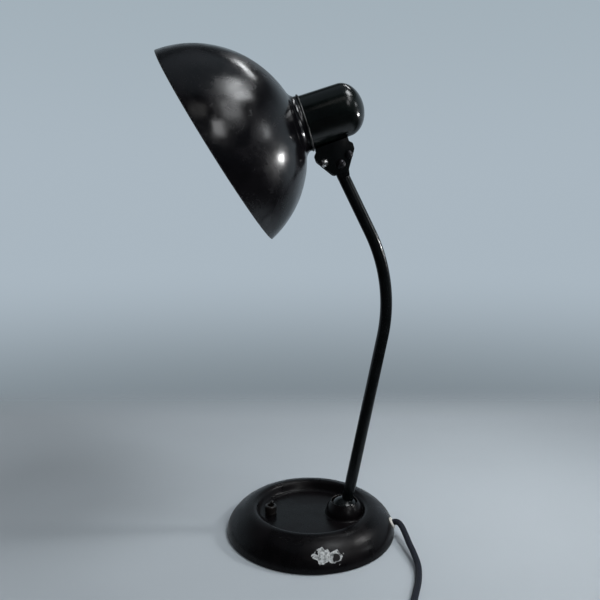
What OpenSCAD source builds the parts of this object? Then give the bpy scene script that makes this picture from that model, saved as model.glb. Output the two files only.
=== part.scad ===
// Desk lamp with a heavy round foot, a bent tube arm and a tilting head.
// The arm stands in a ball joint in the foot. A forked eye at the top of the arm
// turns on a screw between the two cheeks of a bracket, which carries the lampholder
// housing and the shade.
// Units are millimetres. The origin is the centre of the foot on the table, +Z up,
// and the arm and the head lie in the XZ plane with the shade towards -X.

/* [Foot] */
// Outside diameter of the foot at the table
base_d = 175; // [170:1:184]
// Height of the rounded crest above the table
base_h = 26; // [25:0.5:29]
// Height of the sunken floor's top face
floor_h = 16; // [15.5:0.25:17]
// Wall of the cast foot
casting_t = 4.5; // [4:0.1:5]
// Thickness of the felt under the foot
felt_t = 1.5; // [1.2:0.1:1.8]
// Thickness of the steel cover plate under the foot
cover_t = 1.2; // [1:0.1:1.4]

/* [Foot joint] */
// Distance of the joint from the centre of the foot
joint_x = 35.5; // [34:0.5:37]
// Outside radius of the domed socket
socket_r = 20; // [19.5:0.1:20.4]
// Wall of the domed socket
socket_t = 2; // [1.8:0.1:2.2]
// Radius of the round mouth in the top of the socket
mouth_r = 13.5; // [13.3:0.1:13.8]
// Wall of the ball cap on the arm's lower end
cap_t = 1.6; // [1.4:0.1:1.8]
// Wire of the spring that presses the ball cap up
spring_wire = 2; // [1.6:0.1:2.2]

/* [Arm] */
// Outside diameter of the arm tube
arm_d = 12; // [11.6:0.1:12.2]
// Wall of the arm tube
arm_t = 1.5; // [1.2:0.1:1.8]
// Lean of the lower arm from upright, towards +X
arm_lean = 11; // [8:0.5:13]
// Straight length from the foot joint to the bend
stem_len = 193.7; // [170:1:215]
// Radius of the bend at the tube's centre
bend_r = 165; // [140:1:185]
// Angle that the bend turns through
bend_angle = 37.5; // [33:0.5:41]
// Length from the bend to the level of the head joint's pivot
neck_len = 71.9; // [62:0.1:85]

/* [Head joint] */
// Distance of the pivot from the arm tube's centre line
pivot_side = 2.4; // [1.6:0.1:2.8]
// Diameter of the pivot screw
pivot_d = 5; // [4.4:0.1:5.4]
// Width between the two cheeks of the head bracket
cheek_gap = 9.2; // [9:0.1:9.8]
// Sheet thickness of the head bracket
cheek_t = 1.5; // [1.2:0.1:1.7]
// Half of the head bracket's width
cheek_half_w = 19.5; // [18.6:0.1:20]
// Thread diameter of the two screws beside the pivot
cheek_screw_d = 4; // [3.5:0.1:4.2]
// Distance from the pivot to the housing's centre line
pivot_drop = 48.1; // [47:0.1:50]
// Distance of the pivot behind the mouth of the shade
pivot_offset = 24.9; // [24.2:0.1:26]

/* [Head] */
// Lean of the housing's centre line above level
head_pitch = 18.4; // [14:0.2:22]
// Outside diameter of the housing at its mouth
housing_d = 52; // [51.6:0.1:52.4]
// Length of the housing from the shade's mouth to its end
housing_len = 63; // [60:0.5:70]
// Sheet thickness of the housing
housing_t = 1; // [0.8:0.1:1.2]
// Outside radius of the shade's spherical sheet
shade_r = 104.2; // [100:0.2:108]
// Sheet thickness of the shade
shade_t = 0.8; // [0.7:0.1:1]
// Distance of the shade's oblique rim from the centre of its sphere
rim_offset = 19.7; // [14:0.5:24]
// Angle between the rim's plane and a square cut
rim_slant = 12.8; // [9:0.2:16]
// Diameter of the bulb's glass
bulb_d = 55; // [50:1:60]

/* [Switch] */
// Distance of the switch from the centre of the foot, on the side away from the joint
switch_x = 42; // [40:0.5:44]
// Height of the switch collar above the floor
collar_h = 9; // [8:0.25:10]
// Diameter of the switch collar
collar_d = 12.2; // [12:0.1:13]

/* [Cord] */
// Diameter of the braided mains cord
cord_d = 6; // [5.8:0.1:6.2]
// Direction of the cord's outlet, measured from +X
outlet_angle = -6.5; // [-10:0.5:-4]
// Diameter of the outlet bush's flange
bush_d = 11.5; // [11:0.1:12.5]

/* [Hidden] */
$fn = 72;
eps = 0.02;       // overlap that makes one solid of two touching shapes
fit = 0.05;       // radial clearance of a running fit
STEP_DEG = 5;     // turn between the points of a drawn arc

// Foot: outline values
base_r = base_d / 2;
skirt_z = 1;                              // lower edge of the casting
side_a = 56.2;                            // half width of the side's ellipse
side_b = (base_h - skirt_z) * 1.256;      // half height of the side's ellipse
side_r0 = base_r - side_a;
side_end = 46;                            // where the side runs into the crest
side_slope = atan2(side_b * cos(side_end), side_a * sin(side_end));
crest_r = (base_h - skirt_z - side_b * sin(side_end)) / (1 - cos(side_slope));
crest_x = side_r0 + side_a * cos(side_end) - crest_r * sin(side_slope);
bowl_r = 5.5;                             // rounding at the top and foot of the bowl's wall
bowl_slope = 65;
bowl_drop = base_h - floor_h - 2 * bowl_r * (1 - cos(bowl_slope));
floor_r = crest_x - 2 * bowl_r * sin(bowl_slope) - bowl_drop / tan(bowl_slope);
floor_z = floor_h - casting_t;            // underside of the floor
cover_z = felt_t;                         // underside of the cover plate
cover_top = cover_z + cover_t;
cover_r = base_r - 4.5;
boss_r = 4.5;
cover_boss_at = base_r - 16;              // radius of the cover's three screws
cover_boss_turn = [90, 210, 330];

// Foot joint
joint_z = floor_h - 0.5;
cap_r = socket_r - socket_t - fit;
cap_edge = 83;                            // how far round the ball cap reaches from its pole
plate_z = joint_z - cap_r * sin(13) - 4.7; // underside of the socket plate
socket_plate_t = 1.2;
socket_boss_at = socket_r + 7;
dome_foot_r = 2;                          // rounding where the dome grows out of the floor
socket_boss_turn = [60, 180, 300];
ring_r = cap_r - cap_t - fit;
ring_lo = 62;                             // the pressure ring's zone, measured from upright
ring_hi = 38;
ring_foot = ring_r * cos(ring_lo);
spring_r = 11.9;
m4_r = 2;
screw_head_h = 2.2;

// Arm
arm_r = arm_d / 2;
bore_r = arm_r - arm_t;
tangent = bend_r * tan(bend_angle / 2);
bend_draw = 0.01;                         // how much slimmer the tube is in the bend
tube_foot = cap_r - cap_t;
tube_gap = 14.5;                          // from the tube's top end up to the pivot's level
lead_r = 1.9;
function along(p, lean, d) = p + d * [sin(lean), 0, cos(lean)];
neck_lean = arm_lean - bend_angle;
base_joint = [joint_x, 0, joint_z];
bend_point = along(base_joint, arm_lean, stem_len + tangent);
pivot_pos = along(bend_point, neck_lean, tangent + neck_len)
    + pivot_side * [cos(neck_lean), 0, -sin(neck_lean)];

// Head joint: places are measured from the pivot, square to the housing's centre line
pivot_r = pivot_d / 2;
eye_r = 7.5;
washer_t = 0.6;
fork_half_w = cheek_gap / 2 - washer_t - fit;
fork_slot = lead_r + 0.2;                 // half width of the slot that the lead runs through
fork_foot = 13;
lead_side = pivot_r + lead_r + 0.3;       // the lead passes beside the pivot screw
cheek_foot_w = 7.5;
cheek_foot = -8.4;
cheek_knee = 9.8;
cheek_neck_w = cheek_half_w - 2.9;        // slimmer at the top, clear of the shade's bead
side_screw_at = 12.4;                     // from the bracket's middle
side_screw_z = 6.1;
side_head_r = 4.1;
pivot_head_r = 4.8;
spacer_r = 3;

// Nipple that holds the bracket to the housing, in the middle of the bracket
nipple_x = -2.4;
nipple_r = 5;
nipple_bore_r = 2.6;
mouth_z = 1;                              // the housing starts behind the shade's flange
side_z = housing_len - 18;
taper = 0.8;                              // the housing is this much slimmer at its shoulder
corner_r = 13;
dome_turn = 15;
housing_r = housing_d / 2;
function housing_r_at(z) = housing_r - taper * (z - mouth_z) / (side_z - mouth_z);
nipple_offset = pivot_offset + nipple_x;
wall_z = pivot_drop - housing_r_at(nipple_offset);
saddle_r = 7.5;
saddle_top = wall_z + housing_t + 1.75;
bracket_t = 1.2;
nut_h = 2.5;
nut_r = 8.1;
nipple_end = saddle_top + bracket_t + nut_h + fit;

// Lampholder: positions along the housing's axis from the shade's mouth
thread_r = 20;
holder_front = -5;
holder_shoulder_r = housing_r - housing_t - 0.7;
holder_shoulder_t = 3;
holder_r = 18;
holder_end = 42.8;
shell_r = 14.1;
shell_t = 0.6;
shell_depth = 21;
bulb_cap_r = 13.1;
bulb_cap_end = 17;
contact_z = 20;
bulb_len = 98;

// Shade: the sphere's centre and the neck
neck_r = housing_r + shade_t + fit;
flare_start = 18.5;                       // where the sphere runs into the neck
flare_end = 62;
flare_r = (shade_r * sin(flare_start) - neck_r) / (sin(flare_end) - sin(flare_start));
flare_rise = flare_r * (cos(flare_start) - cos(flare_end));
sphere_z = mouth_z - flare_rise - shade_r * cos(flare_start);
neck_end = 3.5;
bead_r = 0.9;

// Switch
lever_pivot_z = floor_h + 3.5;
lever_rest = 9;                           // lean of the lever at rest, towards +X
switch_body_r = 12;
switch_neck_r = 4.6;
collar_bore_r = 3.6;

// Cord: the outlet stands square on the foot's curved side
outlet_t = 16.7;
outlet_r = side_r0 + side_a * cos(outlet_t);
outlet_z = skirt_z + side_b * sin(outlet_t);
outlet_rise = atan2(sin(outlet_t) / side_b, cos(outlet_t) / side_a);
cord_r = cord_d / 2;
bush_flange_t = 1.5;
bush_barrel_r = 4.2;
CORD_PATH = [
    [84.8, -9.7, 10.1], [86.9, -9.9, 11.2], [89.2, -11.3, 12], [91.5, -15, 12.2],
    [93, -21, 11.8], [94, -28, 11],
    [95, -37, 9.8], [96, -47, 8.3], [97.5, -58, 6.8], [98.5, -69, 5.4], [98.5, -80, 4.2],
    [96.5, -92, 3.3], [93.5, -104, 3], [89.5, -116, 3], [85.5, -128, 3], [82, -140, 3],
    [79.5, -152, 3], [78.2, -162, 3], [78, -168.4, 3]
];
TAIL_PATH = [
    [-6.3, -185.3, 14.4], [-10.6, -181.4, 13.3], [-17.2, -178.1, 11.2],
    [-25, -176.6, 8.8], [-31.5, -176.9, 7.2], [-35.3, -178, 7]
];
coil_at = [38.6, -192, 0];
coil_mean_r = 33;
coil_half_w = 9;
coil_h = 18;
plug_dir = 200;                           // direction in which the plug points
plug_at = [-35.6, -178.1, 0];
plug_w = 35;
plug_t = 14;
plug_len = 34;
boot_len = 16;
pin_r = 2;
pin_root_r = 1.5;                         // the pin's root, moulded into the plug
pin_len = 19;
pin_gap = 18.6;

// ---- drawing helpers ------------------------------------------------------

// Points of an arc of radius r about c, from angle a to angle b
function arc(c, r, a, b) = let (n = max(1, ceil(abs(b - a) / STEP_DEG)))
    [for (i = [0:n]) c + r * [cos(a + (b - a) * i / n), sin(a + (b - a) * i / n)]];

function unit(v) = v / norm(v);

// The rounded corner at b between a and c
function corner(a, b, c, r) =
    let (u = unit(a - b), v = unit(c - b), half = acos(u * v) / 2,
         m = b + unit(u + v) * r / sin(half),
         s = b + u * r / tan(half) - m, e = b + v * r / tan(half) - m,
         from = atan2(s[1], s[0]), turn = (atan2(e[1], e[0]) - from + 540) % 360 - 180)
    arc(m, r, from, from + turn);

// A closed outline whose corners are rounded
function rounded(pts, radii) = let (n = len(pts))
    [for (i = [0:n - 1]) each corner(pts[(i + n - 1) % n], pts[i], pts[(i + 1) % n], radii[i])];

// A curve of n steps from a to c that is drawn towards b
function blend(a, b, c, n) =
    [for (i = [1:n]) let (t = i / n) a * (1 - t) * (1 - t) + b * 2 * t * (1 - t) + c * t * t];

// A smooth path through the given points, with steps places between each two
function smooth_path(p, steps) = let (n = len(p)) concat(
    [for (i = [0:n - 2], k = [0:steps - 1])
        let (t = k / steps, a = p[max(i - 1, 0)], b = p[i], c = p[i + 1], d = p[min(i + 2, n - 1)])
        0.5 * (2 * b + (c - a) * t + (2 * a - 5 * b + 4 * c - d) * t * t
               + (3 * b - a - 3 * c + d) * t * t * t)],
    [p[n - 1]]);

// A round wire swept along a path, with flat ends; up is a direction that the path never takes
module wire(path, r, sides = 8, up = [0, 0, 1]) {
    n = len(path);
    dirs = [for (i = [0:n - 1]) unit(path[min(i + 1, n - 1)] - path[max(i - 1, 0)])];
    rings = [for (i = [0:n - 1])
        let (side = unit(cross(dirs[i], up)), lift = cross(side, dirs[i]))
        for (k = [0:sides - 1]) path[i] + r * (cos(360 * k / sides) * side + sin(360 * k / sides) * lift)];
    walls = [for (i = [0:n - 2], k = [0:sides - 1])
        let (a = i * sides + k, b = i * sides + (k + 1) % sides) [a, b, b + sides, a + sides]];
    ends = [[for (k = [0:sides - 1]) sides - 1 - k], [for (k = [0:sides - 1]) (n - 1) * sides + k]];
    polyhedron(rings, concat(walls, ends), convexity = 8);
}

// A hexagonal nut with a through hole
module hex_nut(r, h, hole) {
    difference() {
        cylinder(r = r, h = h, $fn = 6);
        translate([0, 0, -1]) cylinder(r = hole, h = h + 2);
    }
}

// A cheese-head screw whose shank points up and whose head hangs below z = 0
module plain_screw(shank_r, length, head_r, head_h) {
    slot = [2 * head_r + 2, head_r * 0.28, head_h];
    translate([0, 0, -eps]) cylinder(r = shank_r, h = length + eps);
    difference() {
        translate([0, 0, -head_h]) cylinder(r = head_r, h = head_h);
        translate([-slot[0] / 2, -slot[1] / 2, -head_h * 1.6]) cube(slot);
    }
}

// A slotted round-head screw whose shank points down and whose domed head stands on z = 0
module dome_screw(shank_r, length, head_r, head_h) {
    ball = (head_r * head_r + head_h * head_h) / (2 * head_h);
    slot = [2 * head_r + 2, head_r * 0.26, head_h];
    translate([0, 0, -length]) cylinder(r = shank_r, h = length + eps);
    difference() {
        intersection() {
            translate([0, 0, head_h - ball]) sphere(r = ball);
            cylinder(r = head_r + 1, h = head_h + 1);
        }
        translate([-slot[0] / 2, -slot[1] / 2, head_h * 0.5]) cube(slot);
    }
}

// ---- places ---------------------------------------------------------------

module at_foot_joint() { translate(base_joint) children(); }
module along_stem() { at_foot_joint() rotate([0, arm_lean, 0]) children(); }
module at_bend() { along_stem() translate([0, 0, stem_len]) children(); }
module along_neck() {
    at_bend() translate([-bend_r, 0, 0]) rotate([0, -bend_angle, 0]) translate([bend_r, 0, 0]) children();
}
module at_fork() { along_neck() translate([pivot_side, 0, neck_len]) children(); }
module at_head() { translate(pivot_pos) rotate([0, -head_pitch, 0]) children(); }
module at_nipple() { at_head() translate([nipple_x, 0, 0]) children(); }
// The housing's axis: z runs from the shade's mouth to the housing's end, x towards the pivot
module on_housing_axis() {
    at_head() translate([-pivot_offset, 0, pivot_drop]) rotate([0, 90, 0]) children();
}
module at_outlet() {
    rotate([0, 0, outlet_angle]) translate([outlet_r, 0, outlet_z])
        rotate([0, 90 - outlet_rise, 0]) children();
}
module at_plug() { translate(plug_at) rotate([0, 0, plug_dir]) translate([0, 0, plug_t / 2]) children(); }

// ---- the foot -------------------------------------------------------------

// Half outline of the foot's skin, moved inwards by t; t = 0 is the outside
function foot_skin(t) = concat(
    [for (a = [0:4:side_end - 2]) side_point(a, t)],
    arc([crest_x, base_h - crest_r], crest_r - t, 90 - side_slope, 90),
    arc([crest_x, base_h - bowl_r], max(bowl_r - t, 0.2), 90 + 5, 90 + bowl_slope),
    arc([floor_r, floor_h + bowl_r], bowl_r + t, 270 + bowl_slope, 270)
);
function side_point(a, t) =
    let (n = unit([cos(a) / side_a, sin(a) / side_b]))
    [side_r0 + side_a * cos(a), skirt_z + side_b * sin(a)] - t * n;

module base_casting() {
    color("#15161a") difference() {
        union() {
            difference() {
                rotate_extrude() polygon(concat(foot_skin(0), [[0, floor_h], [0, skirt_z]]));
                foot_cavity();
            }
            foot_bosses();
            translate([joint_x, 0, 0]) {
                socket_dome();
                for (a = socket_boss_turn)
                    rotate(a) translate([socket_boss_at, 0, plate_z + socket_plate_t])
                        cylinder(r = boss_r, h = floor_h - plate_z - socket_plate_t - 0.5);
            }
        }
        translate([joint_x, 0, joint_z]) {
            sphere(r = socket_r - socket_t);
            translate([0, 0, -joint_z]) cylinder(r = socket_r - socket_t, h = joint_z);
            cylinder(r = mouth_r, h = socket_r);
            for (a = socket_boss_turn)
                rotate(a) translate([socket_boss_at, 0, plate_z - joint_z]) cylinder(r = m4_r, h = 7);
        }
        for (a = cover_boss_turn)
            rotate(a) translate([cover_boss_at, 0, 0]) cylinder(r = m4_r, h = cover_top + 7);
        translate([-switch_x, 0, 0]) cylinder(r = switch_neck_r + 0.1, h = base_h);
        at_outlet() translate([0, 0, -14]) cylinder(r = bush_barrel_r, h = 30);
        at_outlet() translate([0, 0, -0.6]) cylinder(r = bush_d / 2 + 0.2, h = 12);
        rotate(outlet_angle) cord_clamp_holes();
    }
}

// Bosses for the cover's screws and the block that the cord is clamped to
module foot_bosses() {
    intersection() {
        union() {
            for (a = cover_boss_turn)
                rotate(a) translate([cover_boss_at, 0, cover_top]) cylinder(r = boss_r, h = base_h);
            rotate(outlet_angle) cord_anvil();
        }
        rotate_extrude() polygon(concat(foot_skin(1), [[0, floor_h - 1], [0, skirt_z]]));
    }
}

// The dome over the ball joint, with the rounding at its foot
module socket_dome() {
    foot = socket_r + dome_foot_r - 0.1;
    top = acos(mouth_r / socket_r);
    rotate_extrude() polygon(concat(
        [[0, floor_z + 0.5], [foot, floor_z + 0.5]],
        arc([foot, floor_h + dome_foot_r - 0.05], dome_foot_r, 270, 180),
        arc([0, joint_z], socket_r, asin((dome_foot_r + 0.9) / socket_r), top),
        [[0, joint_z + socket_r * sin(top)]]));
}

// The hollow under the foot, with the rebate that the cover plate sits in
module foot_cavity() {
    rotate_extrude() polygon(concat(
        [[0, -1], [cover_r + 0.3, -1], [cover_r + 0.3, cover_top]],
        [for (p = foot_skin(casting_t)) if (p[1] > cover_top + 0.5) p],
        [[0, floor_z]]));
}

// Block inside the rim that the cord is clamped against
anvil_at = base_r - 23;
anvil_w = 24;
module cord_anvil() {
    translate([anvil_at - 5, -anvil_w / 2, clamp_z + cord_r]) cube([10, anvil_w, base_h]);
}
clamp_z = 8.2;                            // height of the clamped cord's centre
clamp_screw_y = 8;
module cord_clamp_holes() {
    for (y = [-clamp_screw_y, clamp_screw_y])
        translate([anvil_at, y, 0]) cylinder(r = 1.5, h = clamp_z + cord_r + 6);
}

module base_cover() {
    color("#7d7f80") translate([0, 0, cover_z]) difference() {
        cylinder(r = cover_r, h = cover_t);
        for (a = cover_boss_turn)
            rotate(a) translate([cover_boss_at, 0, -1]) cylinder(r = m4_r + 0.2, h = cover_t + 2);
    }
}

module felt_pad() {
    color("#2c3a33") difference() {
        cylinder(r = cover_r - 1, h = felt_t);
        for (a = cover_boss_turn)
            rotate(a) translate([cover_boss_at, 0, -1]) cylinder(r = 5, h = felt_t + 2);
    }
}

module cover_screws() {
    color("#8c8d8c") for (a = cover_boss_turn)
        rotate(a) translate([cover_boss_at, 0, cover_z]) plain_screw(m4_r, cover_t + 6, 3.8, felt_t - 0.3);
}

// ---- the joint in the foot ------------------------------------------------

module socket_plate() {
    lip_r = spring_r - spring_wire / 2 - 0.2;
    color("#8a8c8d") translate([joint_x, 0, plate_z]) difference() {
        union() {
            cylinder(r = socket_r + 3, h = socket_plate_t);
            for (a = socket_boss_turn)
                rotate(a) translate([socket_boss_at, 0, 0]) cylinder(r = boss_r + 1, h = socket_plate_t);
            cylinder(r = lip_r, h = socket_plate_t + 1.6);
        }
        translate([0, 0, -1]) cylinder(r = lip_r - 1.2, h = 8);
        for (a = socket_boss_turn)
            rotate(a) translate([socket_boss_at, 0, -1]) cylinder(r = m4_r + 0.2, h = 8);
    }
}

module socket_screws() {
    color("#8c8d8c") translate([joint_x, 0, plate_z]) for (a = socket_boss_turn)
        rotate(a) translate([socket_boss_at, 0, 0]) plain_screw(m4_r, 6.5, 3.6, screw_head_h);
}

module pressure_ring() {
    color("#9a8f6c") at_foot_joint() rotate_extrude() polygon(concat(
        arc([0, 0], ring_r, 90 - ring_lo, 90 - ring_hi),
        [[spring_r - spring_wire / 2 - 1.2, ring_r * cos(ring_hi)],
         [spring_r - spring_wire / 2 - 1.2, ring_foot]]));
}

module pressure_spring() {
    turns = 4.5;
    per_turn = 18;
    low = plate_z + socket_plate_t + spring_wire / 2 + 0.02 - joint_z;
    high = ring_foot - spring_wire / 2 - 0.02;
    color("#a5a7a8") at_foot_joint() wire([for (i = [0:turns * per_turn])
        let (t = i / (turns * per_turn), lift = min(max((t * turns - 0.8) / (turns - 1.6), 0), 1))
        [spring_r * cos(360 * turns * t), spring_r * sin(360 * turns * t), low + (high - low) * lift]],
        spring_wire / 2);
}

// ---- the switch -----------------------------------------------------------

module at_switch() { translate([-switch_x, 0, 0]) children(); }

module switch_body() {
    cell_r = 7;
    color("#1b1512") at_switch() difference() {
        union() {
            translate([0, 0, cover_top + 0.6]) cylinder(r = switch_body_r, h = floor_z - cover_top - 0.6);
            cylinder_between(switch_neck_r, floor_z - eps, floor_h + collar_h - 1.4);
        }
        translate([0, 0, cover_top + 2.4]) cylinder(r = cell_r, h = floor_z - cover_top - 4);
        cylinder_between(collar_bore_r - 0.4, floor_z - 3, floor_h + collar_h);
        translate([0, 0, lever_pivot_z]) rotate([90, 0, 0]) cylinder(r = 0.8, h = 12, center = true);
        for (y = [-1, 1]) translate([-2.5, y * 9.5 - 0.5, cover_top + 3.4]) cube([5, 1, 20]);
    }
}

module cylinder_between(r, low, high) { translate([0, 0, low]) cylinder(r = r, h = high - low); }

module switch_collar() {
    r = collar_d / 2;
    color("#141414") at_switch() translate([0, 0, floor_h]) rotate_extrude() polygon(concat(
        [[switch_neck_r + 0.05, 0], [r, 0]],
        arc([r - 1.5, collar_h - 1.5], 1.5, 0, 90),
        [[collar_bore_r, collar_h], [collar_bore_r, collar_h - 1.3],
         [switch_neck_r + 0.05, collar_h - 1.3]]));
}

module switch_pin() {
    color("#9b9c9a") at_switch() translate([0, 0, lever_pivot_z]) rotate([90, 0, 0])
        cylinder(r = 0.8, h = 2 * switch_neck_r - 0.4, center = true);
}

// Two strips that the lever's foot bridges when the lamp is on
module switch_contacts() {
    color("#b08d4f") at_switch() for (y = [-1, 1]) difference() {
        translate([-2.4, y * 9.5 - 0.4, cover_top + 3.5]) cube([4.8, 0.8, floor_z - cover_top - 4.2]);
        translate([0, y * 9.5, cover_top + 5]) rotate([90, 0, 0]) cylinder(r = 0.6, h = 4, center = true);
    }
}

module switch_lever() {
    color("#1a1614") at_switch() translate([0, 0, lever_pivot_z]) rotate([0, lever_rest, 0]) difference() {
        union() {
            cylinder_between(1.5, -7.5, floor_h + collar_h + 3 - lever_pivot_z);
            translate([0, 0, floor_h + collar_h + 3 - lever_pivot_z]) sphere(r = 2);
            sphere(r = 2.4);
            translate([0, 0, -7.5]) sphere(r = 1.7);
        }
        rotate([90, 0, 0]) cylinder(r = 0.8 + fit, h = 12, center = true);
    }
}

// ---- cord inlet and wiring in the foot ------------------------------------

module cord_bush() {
    r = bush_d / 2;
    color("#e6e2d6") at_outlet() difference() {
        union() {
            translate([0, 0, -7]) cylinder(r = bush_barrel_r - 0.02, h = 7);
            translate([0, 0, -0.6]) rotate_extrude() polygon(concat(
                [[0, 0], [r, 0]], arc([r - 0.8, bush_flange_t - 0.2], 0.8, 0, 90),
                [[0, bush_flange_t + 0.6]]));
        }
        translate([0, 0, -8]) cylinder(r = cord_r + 0.05, h = 12);
    }
}

module cord_clamp() {
    strap_t = 1.2;
    color("#8a8c8d") rotate(outlet_angle) translate([anvil_at, 0, 0]) difference() {
        union() {
            translate([-3.5, -11, clamp_z + cord_r - strap_t]) cube([7, 22, strap_t - fit]);
            translate([-3.5, 0, clamp_z]) rotate([0, 90, 0]) cylinder(r = cord_r + strap_t, h = 7);
        }
        translate([-5, 0, clamp_z]) rotate([0, 90, 0]) cylinder(r = cord_r, h = 10);
        translate([-5, -cord_r, clamp_z]) cube([10, cord_d, 10]);
        translate([-5, -12, clamp_z + cord_r - fit]) cube([10, 24, 10]);
        for (y = [-clamp_screw_y, clamp_screw_y])
            translate([0, y, 0]) cylinder(r = 1.6, h = 20);
    }
}

module cord_clamp_screws() {
    color("#b5b6b4") rotate(outlet_angle) for (y = [-clamp_screw_y, clamp_screw_y])
        translate([anvil_at, y, clamp_z + cord_r - 1.2]) plain_screw(1.5, 6, 2.6, 1.6);
}

// The cord's end inside the foot, up to the clamp
module mains_tail() {
    out = outlet_point(0.15);
    end = anvil_at - 5;
    color("#1c2028") wire([out, outlet_point(-4), outlet_point(-8), outlet_turn([anvil_at + 7, 0, clamp_z]),
        outlet_turn([anvil_at, 0, clamp_z]), outlet_turn([end, 0, clamp_z])], cord_r, 10);
    color("#3a3f46") for (y = [-1, 1]) wire(smooth_path([
        outlet_turn([end, 0, clamp_z + y * 1.3]) + [0.01, 0, 0],
        [anvil_at - 6.6, -15, 5.3 + y], [anvil_at - 8, -31, 5.2 + y],
        [anvil_at - 20.5, -38.5 + y, 5.2], [anvil_at - 36.5, -40 + y * 1.6, 5.4],
        [block_at[0] + block[0] / 2 + 0.05, block_at[1] + y * 3.6, cover_top + 4.2]], 3), 1.1);
}
function outlet_turn(p) = [p[0] * cos(outlet_angle) - p[1] * sin(outlet_angle),
    p[0] * sin(outlet_angle) + p[1] * cos(outlet_angle), p[2]];
function outlet_point(d) = outlet_turn([outlet_r + d * cos(outlet_rise), 0, outlet_z + d * sin(outlet_rise)]);

block = [22, 15, 7.6];
block_at = [-4, -32];
block_foot = cover_top + 0.6;
block_wire_z = cover_top + 4.2;
module along_block(y) { translate([0, y * 3.6, block_wire_z]) rotate([0, 90, 0]) children(); }

module terminal_block() {
    color("#ece7da") translate([block_at[0], block_at[1], 0]) difference() {
        translate([-block[0] / 2, -block[1] / 2, block_foot])
            cube([block[0], block[1], floor_z - block_foot]);
        for (y = [-1, 1]) along_block(y) cylinder(r = 1.9, h = block[0] + 2, center = true);
        for (x = [-1, 1], y = [-1, 1]) translate([x * 6, y * 3.6, 0]) cylinder(r = 1.6, h = block_wire_z);
    }
}

module terminal_sleeves() {
    color("#b08d4f") translate([block_at[0], block_at[1], 0]) for (y = [-1, 1]) difference() {
        along_block(y) cylinder(r = 1.9, h = block[0] - 4, center = true);
        along_block(y) cylinder(r = 1.15, h = block[0], center = true);
        for (x = [-1, 1]) translate([x * 6, y * 3.6, 0]) cylinder(r = 1.1, h = block_wire_z);
    }
}

module terminal_screws() {
    color("#b5b6b4") translate([block_at[0], block_at[1], 0]) for (x = [-1, 1], y = [-1, 1])
        translate([x * 6, y * 3.6, cover_top + 1.2]) cylinder(r = 1.1, h = 1.9);
}

module switch_leads() {
    color("#3a3f46") for (y = [-1, 1]) wire(smooth_path([
        [block_at[0] - block[0] / 2 - 0.05, block_at[1] + y * 3.6, cover_top + 4.2],
        [block_at[0] - block[0] / 2 - 8, block_at[1] + y * 3.6 + 1, 6.4],
        [-switch_x + 10, -20 + y * 3.4, 6], [-switch_x + 3 + y * 3, -14.5, 6.2],
        [-switch_x + 1 + y * 2.4, -switch_body_r - 0.1, 6.8]], 3), 1.1);
}

module base_lead() {
    color("#23272e") wire(smooth_path([
        [block_at[0] + 8, block_at[1] + block[1] / 2 + 0.1, 5], [block_at[0] + 8, block_at[1] + 11, 5],
        [block_at[0] + 12, block_at[1] + 16, 4.9],
        [joint_x - 18, -9, 4.8], [joint_x - 8, -2.5, 4.8], [joint_x - 2.5, -0.4, 5.6], [joint_x, 0, 8.6],
        [joint_x, 0, joint_z]], 3), lead_r);
}

// ---- the arm --------------------------------------------------------------

module arm_cap() {
    color("#191b1d") along_stem() difference() {
        sphere(r = cap_r);
        sphere(r = cap_r - cap_t);
        translate([-30, -30, -60 + cap_r * cos(cap_edge)]) cube([60, 60, 60]);
        cylinder(r = arm_r, h = 40);
    }
}

module arm_tube() {
    color("#15181b") difference() {
        arm_rod(arm_r, tube_foot, neck_len - tube_gap);
        arm_rod(bore_r, tube_foot - 1, neck_len - tube_gap + 1);
    }
}

// A round rod of radius r along the arm's bent centre line; bending draws it a hair slimmer
module arm_rod(r, low, high) {
    along_stem() cylinder_between(r, low, stem_len);
    at_bend() translate([-bend_r, 0, 0]) rotate([90, 0, 0])
        rotate_extrude(angle = bend_angle, $fn = 96) translate([bend_r, 0]) circle(r = r - bend_draw);
    along_neck() cylinder_between(r, 0, high);
}

// Forked eye at the top of the arm, with a spigot that sits in the tube
module arm_fork() {
    color("#17191b") at_fork() difference() {
        union() {
            rotate([90, 0, 0]) linear_extrude(height = 2 * fork_half_w, center = true) {
                circle(r = eye_r);
                polygon([[-pivot_side - arm_r + 0.1, -fork_foot - eps],
                    [-pivot_side + arm_r - 0.1, -fork_foot - eps],
                    [eye_r * cos(12), -eye_r * sin(12)], [-eye_r * cos(12), eye_r * sin(12)]]);
            }
            translate([-pivot_side, 0, 0]) {
                cylinder_between(arm_r, -tube_gap, -fork_foot);
                cylinder_between(bore_r, -tube_gap - 12, -tube_gap + eps);
            }
        }
        rotate([90, 0, 0]) cylinder(r = pivot_r + fit, h = 30, center = true);
        translate([-20, -fork_slot, -fork_foot + 1.5]) cube([40, 2 * fork_slot, 30]);
        translate([-pivot_side, 0, 0]) cylinder_between(fork_slot, -tube_gap - 13, 0);
    }
}

// The lead in the arm; at the top it passes beside the pivot screw
module arm_lead() {
    steps = 10;
    bend_start = along(base_joint, arm_lean, stem_len);
    bend_at = [for (i = [0:steps]) let (a = arm_lean - bend_angle * i / steps)
        bend_start + bend_r * [cos(a) - cos(arm_lean), 0, sin(arm_lean) - sin(a)]];
    function on_fork(x, z) = pivot_pos + x * [cos(neck_lean), 0, -sin(neck_lean)]
        + z * [sin(neck_lean), 0, cos(neck_lean)];
    color("#23272e") wire(concat([along(base_joint, arm_lean, lead_r + 0.6)], bend_at,
        [on_fork(-pivot_side, -tube_gap), on_fork(-pivot_side - 0.4, -9.5), on_fork(-lead_side + 0.7, -5),
         on_fork(-lead_side, 0), on_fork(-lead_side, 3)]), lead_r, up = [0, 1, 0]);
}

// ---- the bracket at the head joint ----------------------------------------

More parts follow.
